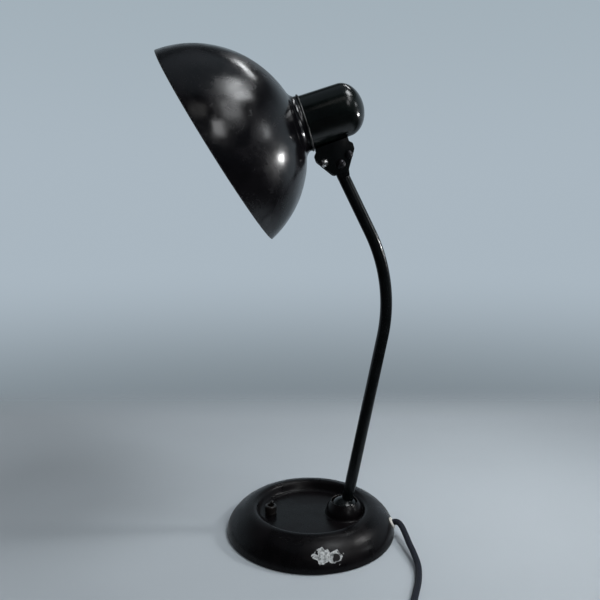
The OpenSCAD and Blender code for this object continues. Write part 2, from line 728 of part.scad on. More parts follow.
function cheek_outline() = rounded(
    [[cheek_foot_w, cheek_foot], [cheek_half_w, cheek_knee], [cheek_half_w, cheek_knee + 5.7],
     [cheek_neck_w, cheek_knee + 8.6], [cheek_neck_w, wall_z + 6], [-cheek_neck_w, wall_z + 6],
     [-cheek_neck_w, cheek_knee + 8.6], [-cheek_half_w, cheek_knee + 5.7], [-cheek_half_w, cheek_knee],
     [-cheek_foot_w, cheek_foot]],
    [5, 5, 2, 1.5, 0.5, 0.5, 1.5, 2, 5, 5]);

// Pressed bracket: a web that lies against the housing, and a cheek on each side of the pivot
module head_bracket() {
    reach = cheek_gap / 2 + cheek_t;
    color("#17191c") difference() {
        union() {
            at_nipple() for (side = [-1, 1])
                translate([0, side * (cheek_gap + cheek_t) / 2, 0]) rotate([90, 0, 0])
                    linear_extrude(height = cheek_t, center = true) polygon(cheek_outline());
            intersection() {
                on_housing_axis() housing_solid(-cheek_t);
                at_nipple() translate([-cheek_neck_w, -reach, wall_z - 5])
                    cube([2 * cheek_neck_w, 2 * reach, 12]);
            }
        }
        on_housing_axis() housing_solid(0);
        at_nipple() cylinder_between(nipple_r + fit, 0, 60);
        at_head() rotate([90, 0, 0]) cylinder(r = pivot_r, h = 40, center = true);
        for (side = [-1, 1]) at_side_screw(side) rotate([90, 0, 0])
            cylinder(r = cheek_screw_d / 2 + fit, h = 40, center = true);
    }
}
module at_side_screw(side) { at_nipple() translate([side * side_screw_at, 0, side_screw_z]) children(); }
cheek_face = cheek_gap / 2 + cheek_t;

module pivot_screw() {
    color("#232527") at_head() translate([0, -cheek_face, 0]) rotate([90, 0, 0])
        dome_screw(pivot_r, 2 * cheek_face + 5, pivot_head_r, 3.2);
}

module pivot_nut() {
    color("#2b2d2f") at_head() translate([0, cheek_face, 0]) rotate([-90, 0, 0])
        hex_nut(pivot_head_r, 4, pivot_r);
}

module pivot_washers() {
    color("#6f5a3c") at_head() for (side = [-1, 1])
        translate([0, side * (cheek_gap - washer_t) / 2, 0]) rotate([90, 0, 0]) difference() {
            cylinder(r = eye_r - 0.5, h = washer_t, center = true);
            cylinder(r = pivot_r, h = 2, center = true);
        }
}

module cheek_spacers() {
    color("#3b3d3f") for (side = [-1, 1]) at_side_screw(side) rotate([90, 0, 0]) difference() {
        cylinder(r = spacer_r, h = cheek_gap, center = true);
        cylinder(r = cheek_screw_d / 2, h = cheek_gap + 2, center = true);
    }
}

module cheek_screw(side) {
    at_side_screw(side) translate([0, -cheek_face, 0]) rotate([90, 0, 0])
        dome_screw(cheek_screw_d / 2, 2 * cheek_face + 4.2, side_head_r, 2.9);
}
module cheek_screw_bright() { color("#c9cbcb") cheek_screw(-1); }
module cheek_screw_black() { color("#232527") cheek_screw(1); }

module cheek_nuts() {
    color("#2b2d2f") for (side = [-1, 1]) at_side_screw(side)
        translate([0, cheek_face, 0]) rotate([-90, 0, 0]) hex_nut(side_head_r, 3.2, cheek_screw_d / 2);
}

// Hollow screw that passes the lead into the housing and holds the bracket to it
module nipple() {
    color("#8f8a72") difference() {
        union() {
            at_nipple() cylinder_between(nipple_r, wall_z - cheek_t - 2, nipple_end);
            difference() {
                at_nipple() intersection() {
                    cylinder_between(nipple_r + 1.6, wall_z - cheek_t - 2, wall_z);
                    cube([40, cheek_gap - 0.2, 100], center = true);
                }
                on_housing_axis() housing_solid(-cheek_t);
            }
        }
        at_nipple() cylinder_between(nipple_bore_r, 0, 60);
    }
}

module nipple_nut() {
    color("#8f8a72") at_nipple() translate([0, 0, saddle_top + bracket_t]) hex_nut(nut_r, nut_h, nipple_r);
}

module head_lead() {
    color("#23272e") at_head() wire(smooth_path([
        [-lead_side + 0.5, 0, eye_r + 2.4], [nipple_x - 1.2, 0, wall_z - 9],
        [nipple_x, 0, wall_z - cheek_t - 2.4], [nipple_x, 0, nipple_end - 0.4]], 3), lead_r, up = [0, 1, 0]);
}

// ---- housing --------------------------------------------------------------

// Half outline of the housing moved inwards by t, as [radius, place along the axis]
dome_r = (housing_r - taper - corner_r + corner_r * sin(dome_turn)) / sin(dome_turn);
corner_z = housing_len - dome_r * (1 - cos(dome_turn)) - corner_r * cos(dome_turn);
function housing_skin(t) = concat(
    [[housing_r - t, mouth_z]],
    arc([housing_r - taper - corner_r, corner_z], corner_r - t, 0, 90 - dome_turn),
    [for (a = [dome_turn - 3:-3:0]) [(dome_r - t) * sin(a), housing_len - dome_r + (dome_r - t) * cos(a)]]
);

module housing_solid(t) {
    rotate_extrude($fn = 300) polygon(concat([[0, mouth_z]], housing_skin(t)));
}

module housing() {
    color("#161b1c") difference() {
        on_housing_axis() rotate_extrude() polygon(concat(housing_skin(0),
            [for (i = [len(housing_skin(0)) - 1:-1:0]) housing_skin(housing_t)[i]]));
        at_nipple() cylinder_between(nipple_r + fit, 0, wall_z + 10);
    }
}

// Rolled bead at the end of the shade's neck
module neck_bead() {
    color("#9aa09f") on_housing_axis() translate([0, 0, neck_end + bead_r]) rotate_extrude()
        translate([housing_r_at(neck_end) + bead_r + 0.06, 0]) circle(r = bead_r, $fn = 24);
}

// Saddle between the round wall of the housing and the flat lampholder bracket
module saddle_washer() {
    color("#8a8c8d") intersection() {
        at_nipple() difference() {
            cylinder_between(saddle_r, saddle_top - 4, saddle_top);
            cylinder_between(nipple_r + fit, 0, 60);
        }
        on_housing_axis() housing_solid(housing_t);
    }
}

// ---- lampholder -----------------------------------------------------------

module holder_bracket() {
    reach = holder_end - nipple_offset;
    w = 15;
    color("#8a8c8d") at_nipple() difference() {
        union() {
            translate([-saddle_r, -w / 2, saddle_top]) cube([saddle_r + reach + bracket_t, w, bracket_t]);
            translate([reach, -w / 2, saddle_top]) cube([bracket_t, w, pivot_drop + 12 - saddle_top]);
        }
        cylinder_between(nipple_r + fit, 0, 60);
        translate([reach - 1, 0, pivot_drop]) for (s = [-1, 1])
            translate([0, 0, s * 8]) rotate([0, 90, 0]) cylinder(r = 1.7, h = 5);
    }
}

module holder_screws() {
    color("#b5b6b4") on_housing_axis() for (s = [-1, 1])
        translate([s * 8, 0, holder_end + bracket_t]) rotate([180, 0, 0]) plain_screw(1.5, 9, 2.8, 1.8);
}

module holder_body() {
    color("#ebe6d8") on_housing_axis() difference() {
        union() {
            cylinder_between(thread_r, holder_front, mouth_z);
            cylinder_between(holder_shoulder_r, mouth_z, mouth_z + holder_shoulder_t);
            cylinder_between(holder_r, mouth_z, holder_end);
        }
        cylinder_between(shell_r, holder_front - 1, shell_depth);
        // groove that the leads run in, and the passage to the contact
        translate([holder_r - 2.8, -4.5, nipple_offset - 5]) cube([10, 9, 40]);
        cylinder_between(3.2, shell_depth - 1, holder_end + 1);
        for (s = [-1, 1]) translate([s * 8, 0, holder_end - 9]) cylinder(r = 1.5, h = 12);
    }
}

module holder_shell() {
    color("#b08d4f") on_housing_axis() difference() {
        cylinder_between(shell_r, holder_front + 2, shell_depth - 2);
        cylinder_between(shell_r - shell_t, holder_front, shell_depth);
    }
}

module holder_contact() {
    color("#b08d4f") on_housing_axis() {
        cylinder_between(3.1, contact_z + 0.05, contact_z + 1);
        cylinder_between(1.5, contact_z + 0.9, holder_end - 2);
    }
}

module shade_ring() {
    grip_r = housing_r - 1.7;
    color("#181614") on_housing_axis() difference() {
        rotate_extrude() polygon(concat([[thread_r + fit, -0.02], [grip_r, -0.02]],
            arc([grip_r - 1.5, -4.5], 1.5, 0, -90), [[thread_r + fit, -6]]));
        for (a = [0:30:330]) rotate(a) translate([grip_r + 1.1, 0, -7])
            cylinder(r = 1.8, h = 6, $fn = 24);
    }
}

module holder_leads() {
    reach = holder_end - nipple_offset;
    color("#3a3f46") at_nipple() for (y = [-1.4, 1.4]) wire(smooth_path([
        [0, y * 0.75, nipple_end + 0.2], [1.2, y, nipple_end + 1.6], [4, y, nipple_end + 2.4],
        [14, y, nipple_end + 2.4], [reach - 3.5, y * 2.4, nipple_end + 2.5],
        [reach - 1.2, y * 2.6, nipple_end + 2.6]], 2), 0.8);
}

// ---- shade ----------------------------------------------------------------

// Half outline of the shade's sheet moved inwards by t, from the rim's side to the neck
function shade_skin(t) = concat(
    [for (a = [95:-2.5:flare_start + 1]) [(shade_r - t) * sin(a), sphere_z + (shade_r - t) * cos(a)]],
    arc([shade_r * sin(flare_start), sphere_z + shade_r * cos(flare_start)]
        + flare_r * [sin(flare_start), cos(flare_start)], flare_r + t, 270 - flare_start, 270 - flare_end)
);

module shade() {
    color("#101114") on_housing_axis() difference() {
        rotate_extrude($fn = 120) polygon(concat(shade_skin(0),
            [[neck_r, neck_end], [neck_r - shade_t, neck_end], [neck_r - shade_t, mouth_z],
             [thread_r + 0.4, mouth_z], [thread_r + 0.4, 0], [neck_r - shade_t - 1, 0]],
            [for (i = [len(shade_skin(0)) - 2:-1:0]) shade_skin(shade_t)[i]]));
        translate([0, 0, sphere_z]) rotate([0, -rim_slant, 0])
            translate([-200, -200, -400 + rim_offset]) cube(400);
    }
}

// ---- bulb -----------------------------------------------------------------

bulb_r = bulb_d / 2;
bulb_z = contact_z - bulb_len + bulb_r;    // centre of the glass bulb
glass_t = 0.8;
glass_neck_r = 12.8;
function bulb_skin(t) = let (r = bulb_r - t, n = glass_neck_r - t, a = 130,
                             p = [r * sin(a), bulb_z - r * cos(a)])
    concat([for (i = [0:5:a]) [r * sin(i), bulb_z - r * cos(i)]],
        blend(p, [n, p[1] + (p[0] - n) / tan(180 - a)], [n, -10], 6), [[n, -2.6]]);

module bulb_glass() {
    color("#f2f4f0", 0.35) on_housing_axis() rotate_extrude() polygon(concat(bulb_skin(0),
        [for (i = [len(bulb_skin(0)) - 1:-1:0]) bulb_skin(glass_t)[i]]));
}

module bulb_cap() {
    color("#c0a060") on_housing_axis() difference() {
        union() {
            cylinder_between(bulb_cap_r, -5, bulb_cap_end);
            translate([0, 0, bulb_cap_end - eps]) cylinder(r1 = 10.5, r2 = 4.6, h = 2);
            cylinder_between(4.6, bulb_cap_end + 1.9, contact_z);
        }
        cylinder_between(glass_neck_r + 0.01, -6, -2.6);
        cylinder_between(11.8, -2.61, bulb_cap_end - 1);
    }
}

// Glass stem that carries the filament's wires
module bulb_mount() {
    color("#dfe6e2", 0.5) on_housing_axis() {
        cylinder_between(10.9, -4.2, -2.7);
        cylinder_between(3.2, -28, -4.2 + eps);
        translate([0, 0, -28]) sphere(r = 3.2);
    }
}

module bulb_filament() {
    loop = [for (a = [0:15:180]) [0, 10 * cos(a), -48 - 10 * sin(a)]];
    color("#8d8f90") on_housing_axis()
        wire(concat([[0, 3.8, -26], [0, 5, -34]], loop, [[0, -5, -34], [0, -3.8, -26]]), 0.5,
            up = [1, 0, 0]);
}

// ---- cord and plug --------------------------------------------------------

module cord() { color("#1c2129") wire(smooth_path(CORD_PATH, 1), cord_r, 10); }
module cord_tail() { color("#1c2129") wire(smooth_path(TAIL_PATH, 2), cord_r, 10); }

module cord_coil() {
    w = coil_half_w;
    r = 3;
    color("#1c2129") translate(coil_at) rotate_extrude() translate([coil_mean_r, 0])
        polygon(rounded([[-w, 0], [w, 0], [w, coil_h], [-w, coil_h]], [r, r, r, r]));
}

module cord_tie() {
    inner = coil_half_w + 0.15;
    outer = inner + 0.9;
    color("#202020") translate(coil_at) rotate(200) translate([coil_mean_r, 0, 0]) rotate([90, 0, 0])
        linear_extrude(height = 4, center = true) difference() {
            translate([-outer, 0]) square([2 * outer, coil_h + 0.95]);
            translate([-inner, -1]) square([2 * inner, coil_h + 1.05]);
        }
}

module plug_body() {
    w = plug_w / 2;
    color("#161616") at_plug() {
        translate([boot_len, 0, -plug_t / 2]) difference() {
            linear_extrude(height = plug_t) polygon(rounded(
                [[0, -6], [9, -w], [plug_len, -w], [plug_len, w], [9, w], [0, 6]], [3, 8, 3, 3, 8, 3]));
            for (y = [-1, 1]) translate([plug_len - 8, y * pin_gap / 2, plug_t / 2]) rotate([0, 90, 0])
                cylinder(r = pin_root_r, h = 20);
        }
        rotate([0, 90, 0]) cylinder(r1 = cord_r + 0.8, r2 = 6, h = boot_len + 1);
    }
}

module plug_pins() {
    color("#c8c9c6") at_plug() for (y = [-1, 1])
        translate([boot_len + plug_len, y * pin_gap / 2, 0]) rotate([0, 90, 0]) {
            cylinder_between(pin_root_r, -8, 0.3 + eps);
            cylinder_between(pin_r, 0.3, pin_len - 0.7);
            translate([0, 0, pin_len - 0.7 - eps]) cylinder(r1 = pin_r, r2 = 1.2, h = 0.7 + eps);
        }
}

base_casting();
base_cover();
felt_pad();
cover_screws();
socket_plate();
socket_screws();
pressure_ring();
pressure_spring();
switch_body();
switch_collar();
switch_pin();
switch_contacts();
switch_lever();
cord_bush();
cord_clamp();
cord_clamp_screws();
mains_tail();
terminal_block();
terminal_sleeves();
terminal_screws();
switch_leads();
base_lead();
arm_cap();
arm_tube();
arm_fork();
arm_lead();
head_bracket();
pivot_screw();
pivot_nut();
pivot_washers();
cheek_spacers();
cheek_screw_bright();
cheek_screw_black();
cheek_nuts();
nipple();
nipple_nut();
saddle_washer();
head_lead();
housing();
neck_bead();
holder_bracket();
holder_screws();
holder_body();
holder_shell();
holder_contact();
holder_leads();
shade_ring();
shade();
bulb_glass();
bulb_cap();
bulb_mount();
bulb_filament();
cord();
cord_coil();
cord_tail();
cord_tie();
plug_body();
plug_pins();
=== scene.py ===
"""Desk lamp with a weighted round foot, a bent tube arm and an obliquely cut dome shade.

Shapes are worked out in millimetres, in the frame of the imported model, and stored in metres. The foot's
centre is the origin, the arm and the head lie in the XZ plane, and the shade opens towards -X.
"""

from __future__ import annotations

import logging
import math
from dataclasses import dataclass, field, replace
from enum import Enum
from typing import Sequence

import bpy
import numpy as np
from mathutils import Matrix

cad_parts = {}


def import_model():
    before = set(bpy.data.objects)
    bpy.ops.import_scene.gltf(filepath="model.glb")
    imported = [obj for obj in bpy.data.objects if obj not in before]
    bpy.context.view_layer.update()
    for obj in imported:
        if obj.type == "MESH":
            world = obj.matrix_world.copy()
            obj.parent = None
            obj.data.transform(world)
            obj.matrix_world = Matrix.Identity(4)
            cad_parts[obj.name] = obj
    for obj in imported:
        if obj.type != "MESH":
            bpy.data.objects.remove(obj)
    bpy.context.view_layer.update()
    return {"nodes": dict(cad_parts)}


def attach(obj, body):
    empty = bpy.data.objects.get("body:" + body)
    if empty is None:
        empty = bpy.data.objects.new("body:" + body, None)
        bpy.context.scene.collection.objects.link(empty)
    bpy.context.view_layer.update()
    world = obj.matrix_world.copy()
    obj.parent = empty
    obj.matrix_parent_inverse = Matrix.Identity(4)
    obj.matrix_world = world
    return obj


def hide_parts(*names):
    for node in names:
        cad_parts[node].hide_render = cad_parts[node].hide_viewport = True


MM = 0.001
Array = np.ndarray
Colour = tuple[float, float, float]
log = logging.getLogger("desk_lamp")


class Body(str, Enum):
    """The moving groups that new pieces ride on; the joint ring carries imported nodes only."""

    FOOT = "foot"
    LEVER = "switch lever"
    ARM = "arm"
    HEAD = "head"


# ---- places ---------------------------------------------------------------


def shift(x: float = 0.0, y: float = 0.0, z: float = 0.0) -> Array:
    """A 4 by 4 matrix that moves by x, y and z."""
    m = np.eye(4)
    m[:3, 3] = (x, y, z)
    return m


def turn(axis: str, degrees: float) -> Array:
    """A right-handed turn about one axis.

    Args:
        axis: "x", "y" or "z".
        degrees: how far to turn.

    Returns:
        The 4 by 4 matrix.
    """
    a, b = {"x": (1, 2), "y": (2, 0), "z": (0, 1)}[axis]
    c, s = math.cos(math.radians(degrees)), math.sin(math.radians(degrees))
    m = np.eye(4)
    m[a, a] = m[b, b] = c
    m[a, b], m[b, a] = -s, s
    return m


@dataclass(frozen=True)
class Places:
    """Where the lamp's joints and axes stand, in millimetres and degrees."""

    joint_x: float = 35.5
    joint_z: float = 15.5
    arm_lean: float = 11.0
    stem_len: float = 193.7
    bend_r: float = 165.0
    bend_angle: float = 37.5
    neck_len: float = 71.9
    pivot_side: float = 2.4
    head_pitch: float = 18.4
    pivot_offset: float = 24.9
    pivot_drop: float = 48.1
    nipple_x: float = -2.4
    switch_x: float = -42.0
    floor_h: float = 16.0
    lever_z: float = 19.5
    lever_lean: float = 9.0
    outlet_angle: float = -6.5
    outlet_r: float = 31.3 + 56.2 * math.cos(math.radians(16.7))
    outlet_z: float = 1.0 + 31.4 * math.sin(math.radians(16.7))
    outlet_rise: float = math.degrees(
        math.atan2(math.sin(math.radians(16.7)) / 31.4, math.cos(math.radians(16.7)) / 56.2))
    plug_at: tuple[float, float, float] = (-35.6, -178.1, 7.0)
    plug_dir: float = 200.0

    def foot_joint(self) -> Array:
        """The ball joint's centre in the foot."""
        return shift(self.joint_x, 0, self.joint_z)

    def stem(self) -> Array:
        """The straight lower part of the arm, z along it."""
        return self.foot_joint() @ turn("y", self.arm_lean)

    def neck(self) -> Array:
        """The straight upper part of the arm, from the end of the bend."""
        bend = shift(-self.bend_r) @ turn("y", -self.bend_angle) @ shift(self.bend_r)
        return self.stem() @ shift(z=self.stem_len) @ bend

    def fork(self) -> Array:
        """The eye at the arm's top, on the pivot."""
        return self.neck() @ shift(self.pivot_side, 0, self.neck_len)

    def head(self) -> Array:
        """The head's own frame: the pivot is its origin and x runs along the housing."""
        return shift(*self.fork()[:3, 3]) @ turn("y", -self.head_pitch)

    def nipple(self) -> Array:
        """The middle of the bracket, z towards the housing."""
        return self.head() @ shift(self.nipple_x)

    def housing_axis(self) -> Array:
        """The housing's axis: z from the shade's mouth to the housing's end, x towards the pivot."""
        return self.head() @ shift(-self.pivot_offset, 0, self.pivot_drop) @ turn("y", 90)

    def switch(self) -> Array:
        """The switch on the foot's floor."""
        return shift(self.switch_x, 0, self.floor_h)

    def lever(self) -> Array:
        """The switch lever, z along it."""
        return shift(self.switch_x, 0, self.lever_z) @ turn("y", self.lever_lean)

    def outlet(self) -> Array:
        """The cord's outlet, z out of the foot's side."""
        out = shift(self.outlet_r, 0, self.outlet_z) @ turn("y", 90 - self.outlet_rise)
        return turn("z", self.outlet_angle) @ out

    def plug(self) -> Array:
        """The plug's axis, x in the direction in which it points."""
        return shift(*self.plug_at) @ turn("z", self.plug_dir)


PLACES = Places()


# ---- surfaces -------------------------------------------------------------


@dataclass
class Shell:
    """A surface in millimetres, before it becomes a mesh.

    Attributes:
        points: the corners, one row each.
        faces: blocks of faces that have the same number of corners.
        paint: the material number of each block's faces.
        weave: the UV of each face corner, block by block, or nothing.
        wear: how rubbed each point is, from 0 to 1.
    """

    points: Array
    faces: list[Array]
    paint: list[Array]
    weave: list[Array] = field(default_factory=list)
    wear: Array | None = None

    def placed(self, place: Array) -> "Shell":
        """The shell carried to a place by a 4 by 4 matrix."""
        return replace(self, points=self.points @ place[:3, :3].T + place[:3, 3])

    def flipped(self) -> "Shell":
        """The shell with every face turned over."""
        return replace(self, faces=[f[:, ::-1] for f in self.faces], weave=[w[:, ::-1] for w in self.weave])

    def welded(self) -> "Shell":
        """The shell with points that coincide made one, and with folded quads made triangles."""
        _, first, back = np.unique(np.round(self.points, 5), axis=0, return_index=True, return_inverse=True)
        back = back.reshape(-1)
        faces: list[Array] = []
        paint: list[Array] = []
        for block, colour in zip(self.faces, self.paint):
            f = back[block]
            if f.shape[1] != 4:
                faces.append(f)
                paint.append(colour)
                continue
            same = f == np.roll(f, -1, axis=1)
            whole = ~same.any(1)
            faces.append(f[whole])
            paint.append(colour[whole])
            for k in range(4):
                folded = same[:, k] & (same.sum(1) == 1)
                faces.append(np.delete(f[folded], k, axis=1))
                paint.append(colour[folded])
        kept = [i for i, f in enumerate(faces) if len(f)]
        wear = None if self.wear is None else self.wear[first]
        return Shell(self.points[first], [faces[i] for i in kept], [paint[i] for i in kept], [], wear)


def joined(shells: Sequence[Shell]) -> Shell:
    """Several shells as one.

    Args:
        shells: the shells; all of them or none have a weave.

    Returns:
        One shell whose point numbers run on.
    """
    starts = np.cumsum([0] + [len(s.points) for s in shells])
    wear = np.concatenate([np.zeros(len(s.points)) if s.wear is None else s.wear for s in shells])
    return Shell(
        np.concatenate([s.points for s in shells]),
        [f + at for s, at in zip(shells, starts) for f in s.faces],
        [p for s in shells for p in s.paint],
        [w for s in shells for w in s.weave],
        wear,
    )


def loft(rows: Array, ring_rows: bool = False, ring_columns: bool = True, capped: bool = False,
         weave: tuple[float, float] | None = None, wear: Array | None = None) -> Shell:
    """A surface through rows of points.

    A face joins two neighbours of one row to the same two of the next, so it looks out where the rows climb
    along z and the columns turn to the left about z.

    Args:
        rows: points as (row, column, 3).
        ring_rows: whether the last row joins the first.
        ring_columns: whether the last column joins the first.
        capped: whether the first and last row are closed by a flat face.
        weave: how often a UV pattern repeats round a row and over all rows.
        wear: how rubbed each point is, as (row, column).

    Returns:
        The shell.
    """
    n, m = rows.shape[:2]
    i = np.arange(n if ring_rows else n - 1)[:, None]
    j = np.arange(m if ring_columns else m - 1)[None, :]
    down, right = (i + 1) % n, (j + 1) % m
    quads = np.stack([i * m + j, i * m + right, down * m + right, down * m + j], -1).reshape(-1, 4)
    faces = [quads]
    if capped:
        faces += [np.arange(m)[::-1][None, :], (n - 1) * m + np.arange(m)[None, :]]
    uv: list[Array] = []
    if weave:
        u, v = weave[0] / m, weave[1] / max(n - 1, 1)
        ij = np.stack(np.broadcast_arrays(j, i), -1).reshape(-1, 1, 2)
        uv = [(ij + np.array([[0, 0], [1, 0], [1, 1], [0, 1]])) * np.array([u, v])]
        uv += [np.zeros((1, m, 2)) for _ in faces[1:]]
    return Shell(rows.reshape(-1, 3), faces, [np.zeros(len(f), int) for f in faces], uv,
                 None if wear is None else np.broadcast_to(wear, (n, m)).reshape(-1))


def turned_rows(outline: Array, angles: Array) -> Array:
    """Rows of an outline (r, z) turned about z: (r cos a, r sin a, z) at each angle a."""
    r, z = outline[:, :1], outline[:, 1:2]
    return np.stack([r * np.cos(angles), r * np.sin(angles), z + 0 * angles], -1)


def around(columns: int) -> Array:
    """The angles of a full turn, in radians, one for each column."""
    return np.linspace(0, 2 * np.pi, columns, endpoint=False)


def lathe(outline: Array, sides: int = 128) -> Shell:
    """A turned piece, closed from the outline's last point to its first.

    Args:
        outline: points (radius, height), with the solid on the left of the way they run.
        sides: how many columns a turn has.

    Returns:
        The shell, welded at its poles.
    """
    return loft(turned_rows(outline, around(sides)), ring_rows=True).welded()


def arc(centre: tuple[float, float], radius: float, start: float, end: float, steps: int) -> Array:
    """Points on a circle from one angle to another, in degrees, both ends included."""
    a = np.radians(np.linspace(start, end, steps + 1))
    return np.stack([centre[0] + radius * np.cos(a), centre[1] + radius * np.sin(a)], -1)


def rounded(corners: Sequence[tuple[float, float, float]], steps: int = 6) -> Array:
    """A closed outline whose corners are rounded by circles that touch both sides.

    Args:
        corners: (x, y, radius), turning left.
        steps: how many pieces each rounding has.

    Returns:
        The outline's points.
    """
    made: list[Array] = []
    for k, (x, y, r) in enumerate(corners):
        p = np.array([x, y])
        back = np.array(corners[k - 1][:2]) - p
        on = np.array(corners[(k + 1) % len(corners)][:2]) - p
        back, on = back / np.linalg.norm(back), on / np.linalg.norm(on)
        half = math.acos(float(np.clip(back @ on, -1, 1))) / 2
        centre = p + (back + on) / np.linalg.norm(back + on) * r / math.sin(half)
        first = p + back * r / math.tan(half) - centre
        side = 1.0 if back[0] * on[1] - back[1] * on[0] < 0 else -1.0
        sweep = np.linspace(0, side * (math.pi - 2 * half), steps + 1)
        c, s = np.cos(sweep), np.sin(sweep)
        made.append(centre + np.stack([first[0] * c - first[1] * s, first[0] * s + first[1] * c], -1))
    return np.concatenate(made)


def plate(outline: Array, thickness: float, edge: float, steps: int = 3) -> Shell:
    """A flat piece with rounded edges, standing on z = 0.

    At the upper edge the outline is drawn in by edge * (1 - cos t) while the height climbs by edge * sin t,
    which is a quarter circle. The lower edge is its mirror image.

    Args:
        outline: closed outline in x and y, turning left.
        thickness: how thick the piece is.
        edge: radius of its rounded edges.
        steps: how many rows each rounding has.

    Returns:
        The shell.
    """
    along = np.roll(outline, -1, 0) - np.roll(outline, 1, 0)
    out = np.stack([along[:, 1], -along[:, 0]], -1) / np.linalg.norm(along, axis=1, keepdims=True)
    t = np.linspace(0, np.pi / 2, steps + 1)
    inset = np.concatenate([edge * (1 - np.sin(t)), edge * (1 - np.cos(t))])
    height = np.concatenate([edge * (1 - np.cos(t)), thickness - edge + edge * np.sin(t)])
    flat = outline[None] - inset[:, None, None] * out[None]
    rows = np.concatenate([flat, np.broadcast_to(height[:, None, None], flat.shape[:2] + (1,))], -1)
    return loft(rows, capped=True)


def tube(path: Array, radius: Array | float, sides: int, up: tuple[float, float, float] = (0, 0, 1),
         weave: tuple[float, float] | None = None) -> Shell:
    """A round rod along a path, with flat ends.

    Each ring is path + r (cos a * side + sin a * lift), where side is square to the path and to up.

    Args:
        path: the rings' centres.
        radius: one radius, or one for each ring.
        sides: points on a ring.
        up: a direction that the path never takes.
        weave: how often a UV pattern repeats round and along.

    Returns:
        The shell.
    """
    along = np.gradient(path, axis=0)
    along /= np.linalg.norm(along, axis=1, keepdims=True)
    side = np.cross(along, np.array(up, float))
    side /= np.linalg.norm(side, axis=1, keepdims=True)
    lift = np.cross(along, side)
    a = around(sides)[None, :, None]
    r = np.broadcast_to(np.asarray(radius, float), (len(path),))[:, None, None]
    rows = path[:, None] + r * (np.cos(a) * side[:, None] + np.sin(a) * lift[:, None])
    return loft(rows, capped=True, weave=weave)


def curve_through(points: Array, step: float) -> Array:
    """An even smooth path through points, by cubic pieces whose slope at a point follows its two neighbours.

    Args:
        points: the points to pass.
        step: distance between the path's places.

    Returns:
        The path.
    """
    p = np.asarray(points, float)
    slope = np.gradient(p, axis=0)
    t = np.linspace(0, 1, 24, endpoint=False)[None, :, None]
    a, b, u, v = p[:-1, None], p[1:, None], slope[:-1, None], slope[1:, None]
    fine = ((2 * t**3 - 3 * t**2 + 1) * a + (t**3 - 2 * t**2 + t) * u + (3 * t**2 - 2 * t**3) * b
            + (t**3 - t**2) * v).reshape(-1, 3)
    return evenly(np.concatenate([fine, p[-1:]]), step)


def evenly(line: Array, step: float) -> Array:
    """The line again with its points about one step apart."""
    along = np.concatenate([[0], np.cumsum(np.linalg.norm(np.diff(line, axis=0), axis=1))])
    at = np.linspace(0, along[-1], max(2, round(along[-1] / step) + 1))
    return np.stack([np.interp(at, along, line[:, k]) for k in range(3)], -1)


def smooth_step(x: Array, low: float, high: float) -> Array:
    """0 below low, 1 above high, and 3t^2 - 2t^3 between."""
    t = np.clip((x - low) / (high - low), 0, 1)
    return t * t * (3 - 2 * t)


def slotted_dome(radius: float, height: float, slot: float, depth: float) -> Shell:
    """A round screw head on z = 0 with a slot along x.

    The top is a spherical cap, cut down to the slot's floor where |y| is under half the slot's width. A row
    is a chord of the disc, so the grid's lines run along the slot's walls.

    Args:
        radius: the head's radius.
        height: its height in the middle.
        slot: the slot's width.
        depth: how deep the slot is below the crown.

    Returns:
        The closed shell.
    """
    ball = (radius**2 + height**2) / (2 * height)
    half = slot / 2
    inside = np.linspace(-half + 0.02, half - 0.02, 5)
    outer = radius * np.sin(np.linspace(math.asin((half + 0.02) / radius), np.pi / 2, 15))
    y = np.concatenate([-outer[::-1], inside, outer])[:, None]
    x = np.sqrt(np.maximum(radius**2 - y**2, 0)) * np.sin(np.linspace(-np.pi / 2, np.pi / 2, 25))[None, :]
    yy = np.broadcast_to(y, x.shape)
    z = np.maximum(np.sqrt(np.maximum(ball**2 - x**2 - yy**2, 0)) - ball + height, 0)
    z = np.where(np.abs(yy) < half, np.minimum(z, height - depth), z)
    z[[0, -1]] = 0
    z[:, [0, -1]] = 0
    top = loft(np.stack([x, yy, z], -1), ring_columns=False)
    low = loft(np.stack([x, yy, np.zeros_like(z)], -1), ring_columns=False)
    return joined([top, low.flipped()]).welded()


# ---- finishes -------------------------------------------------------------


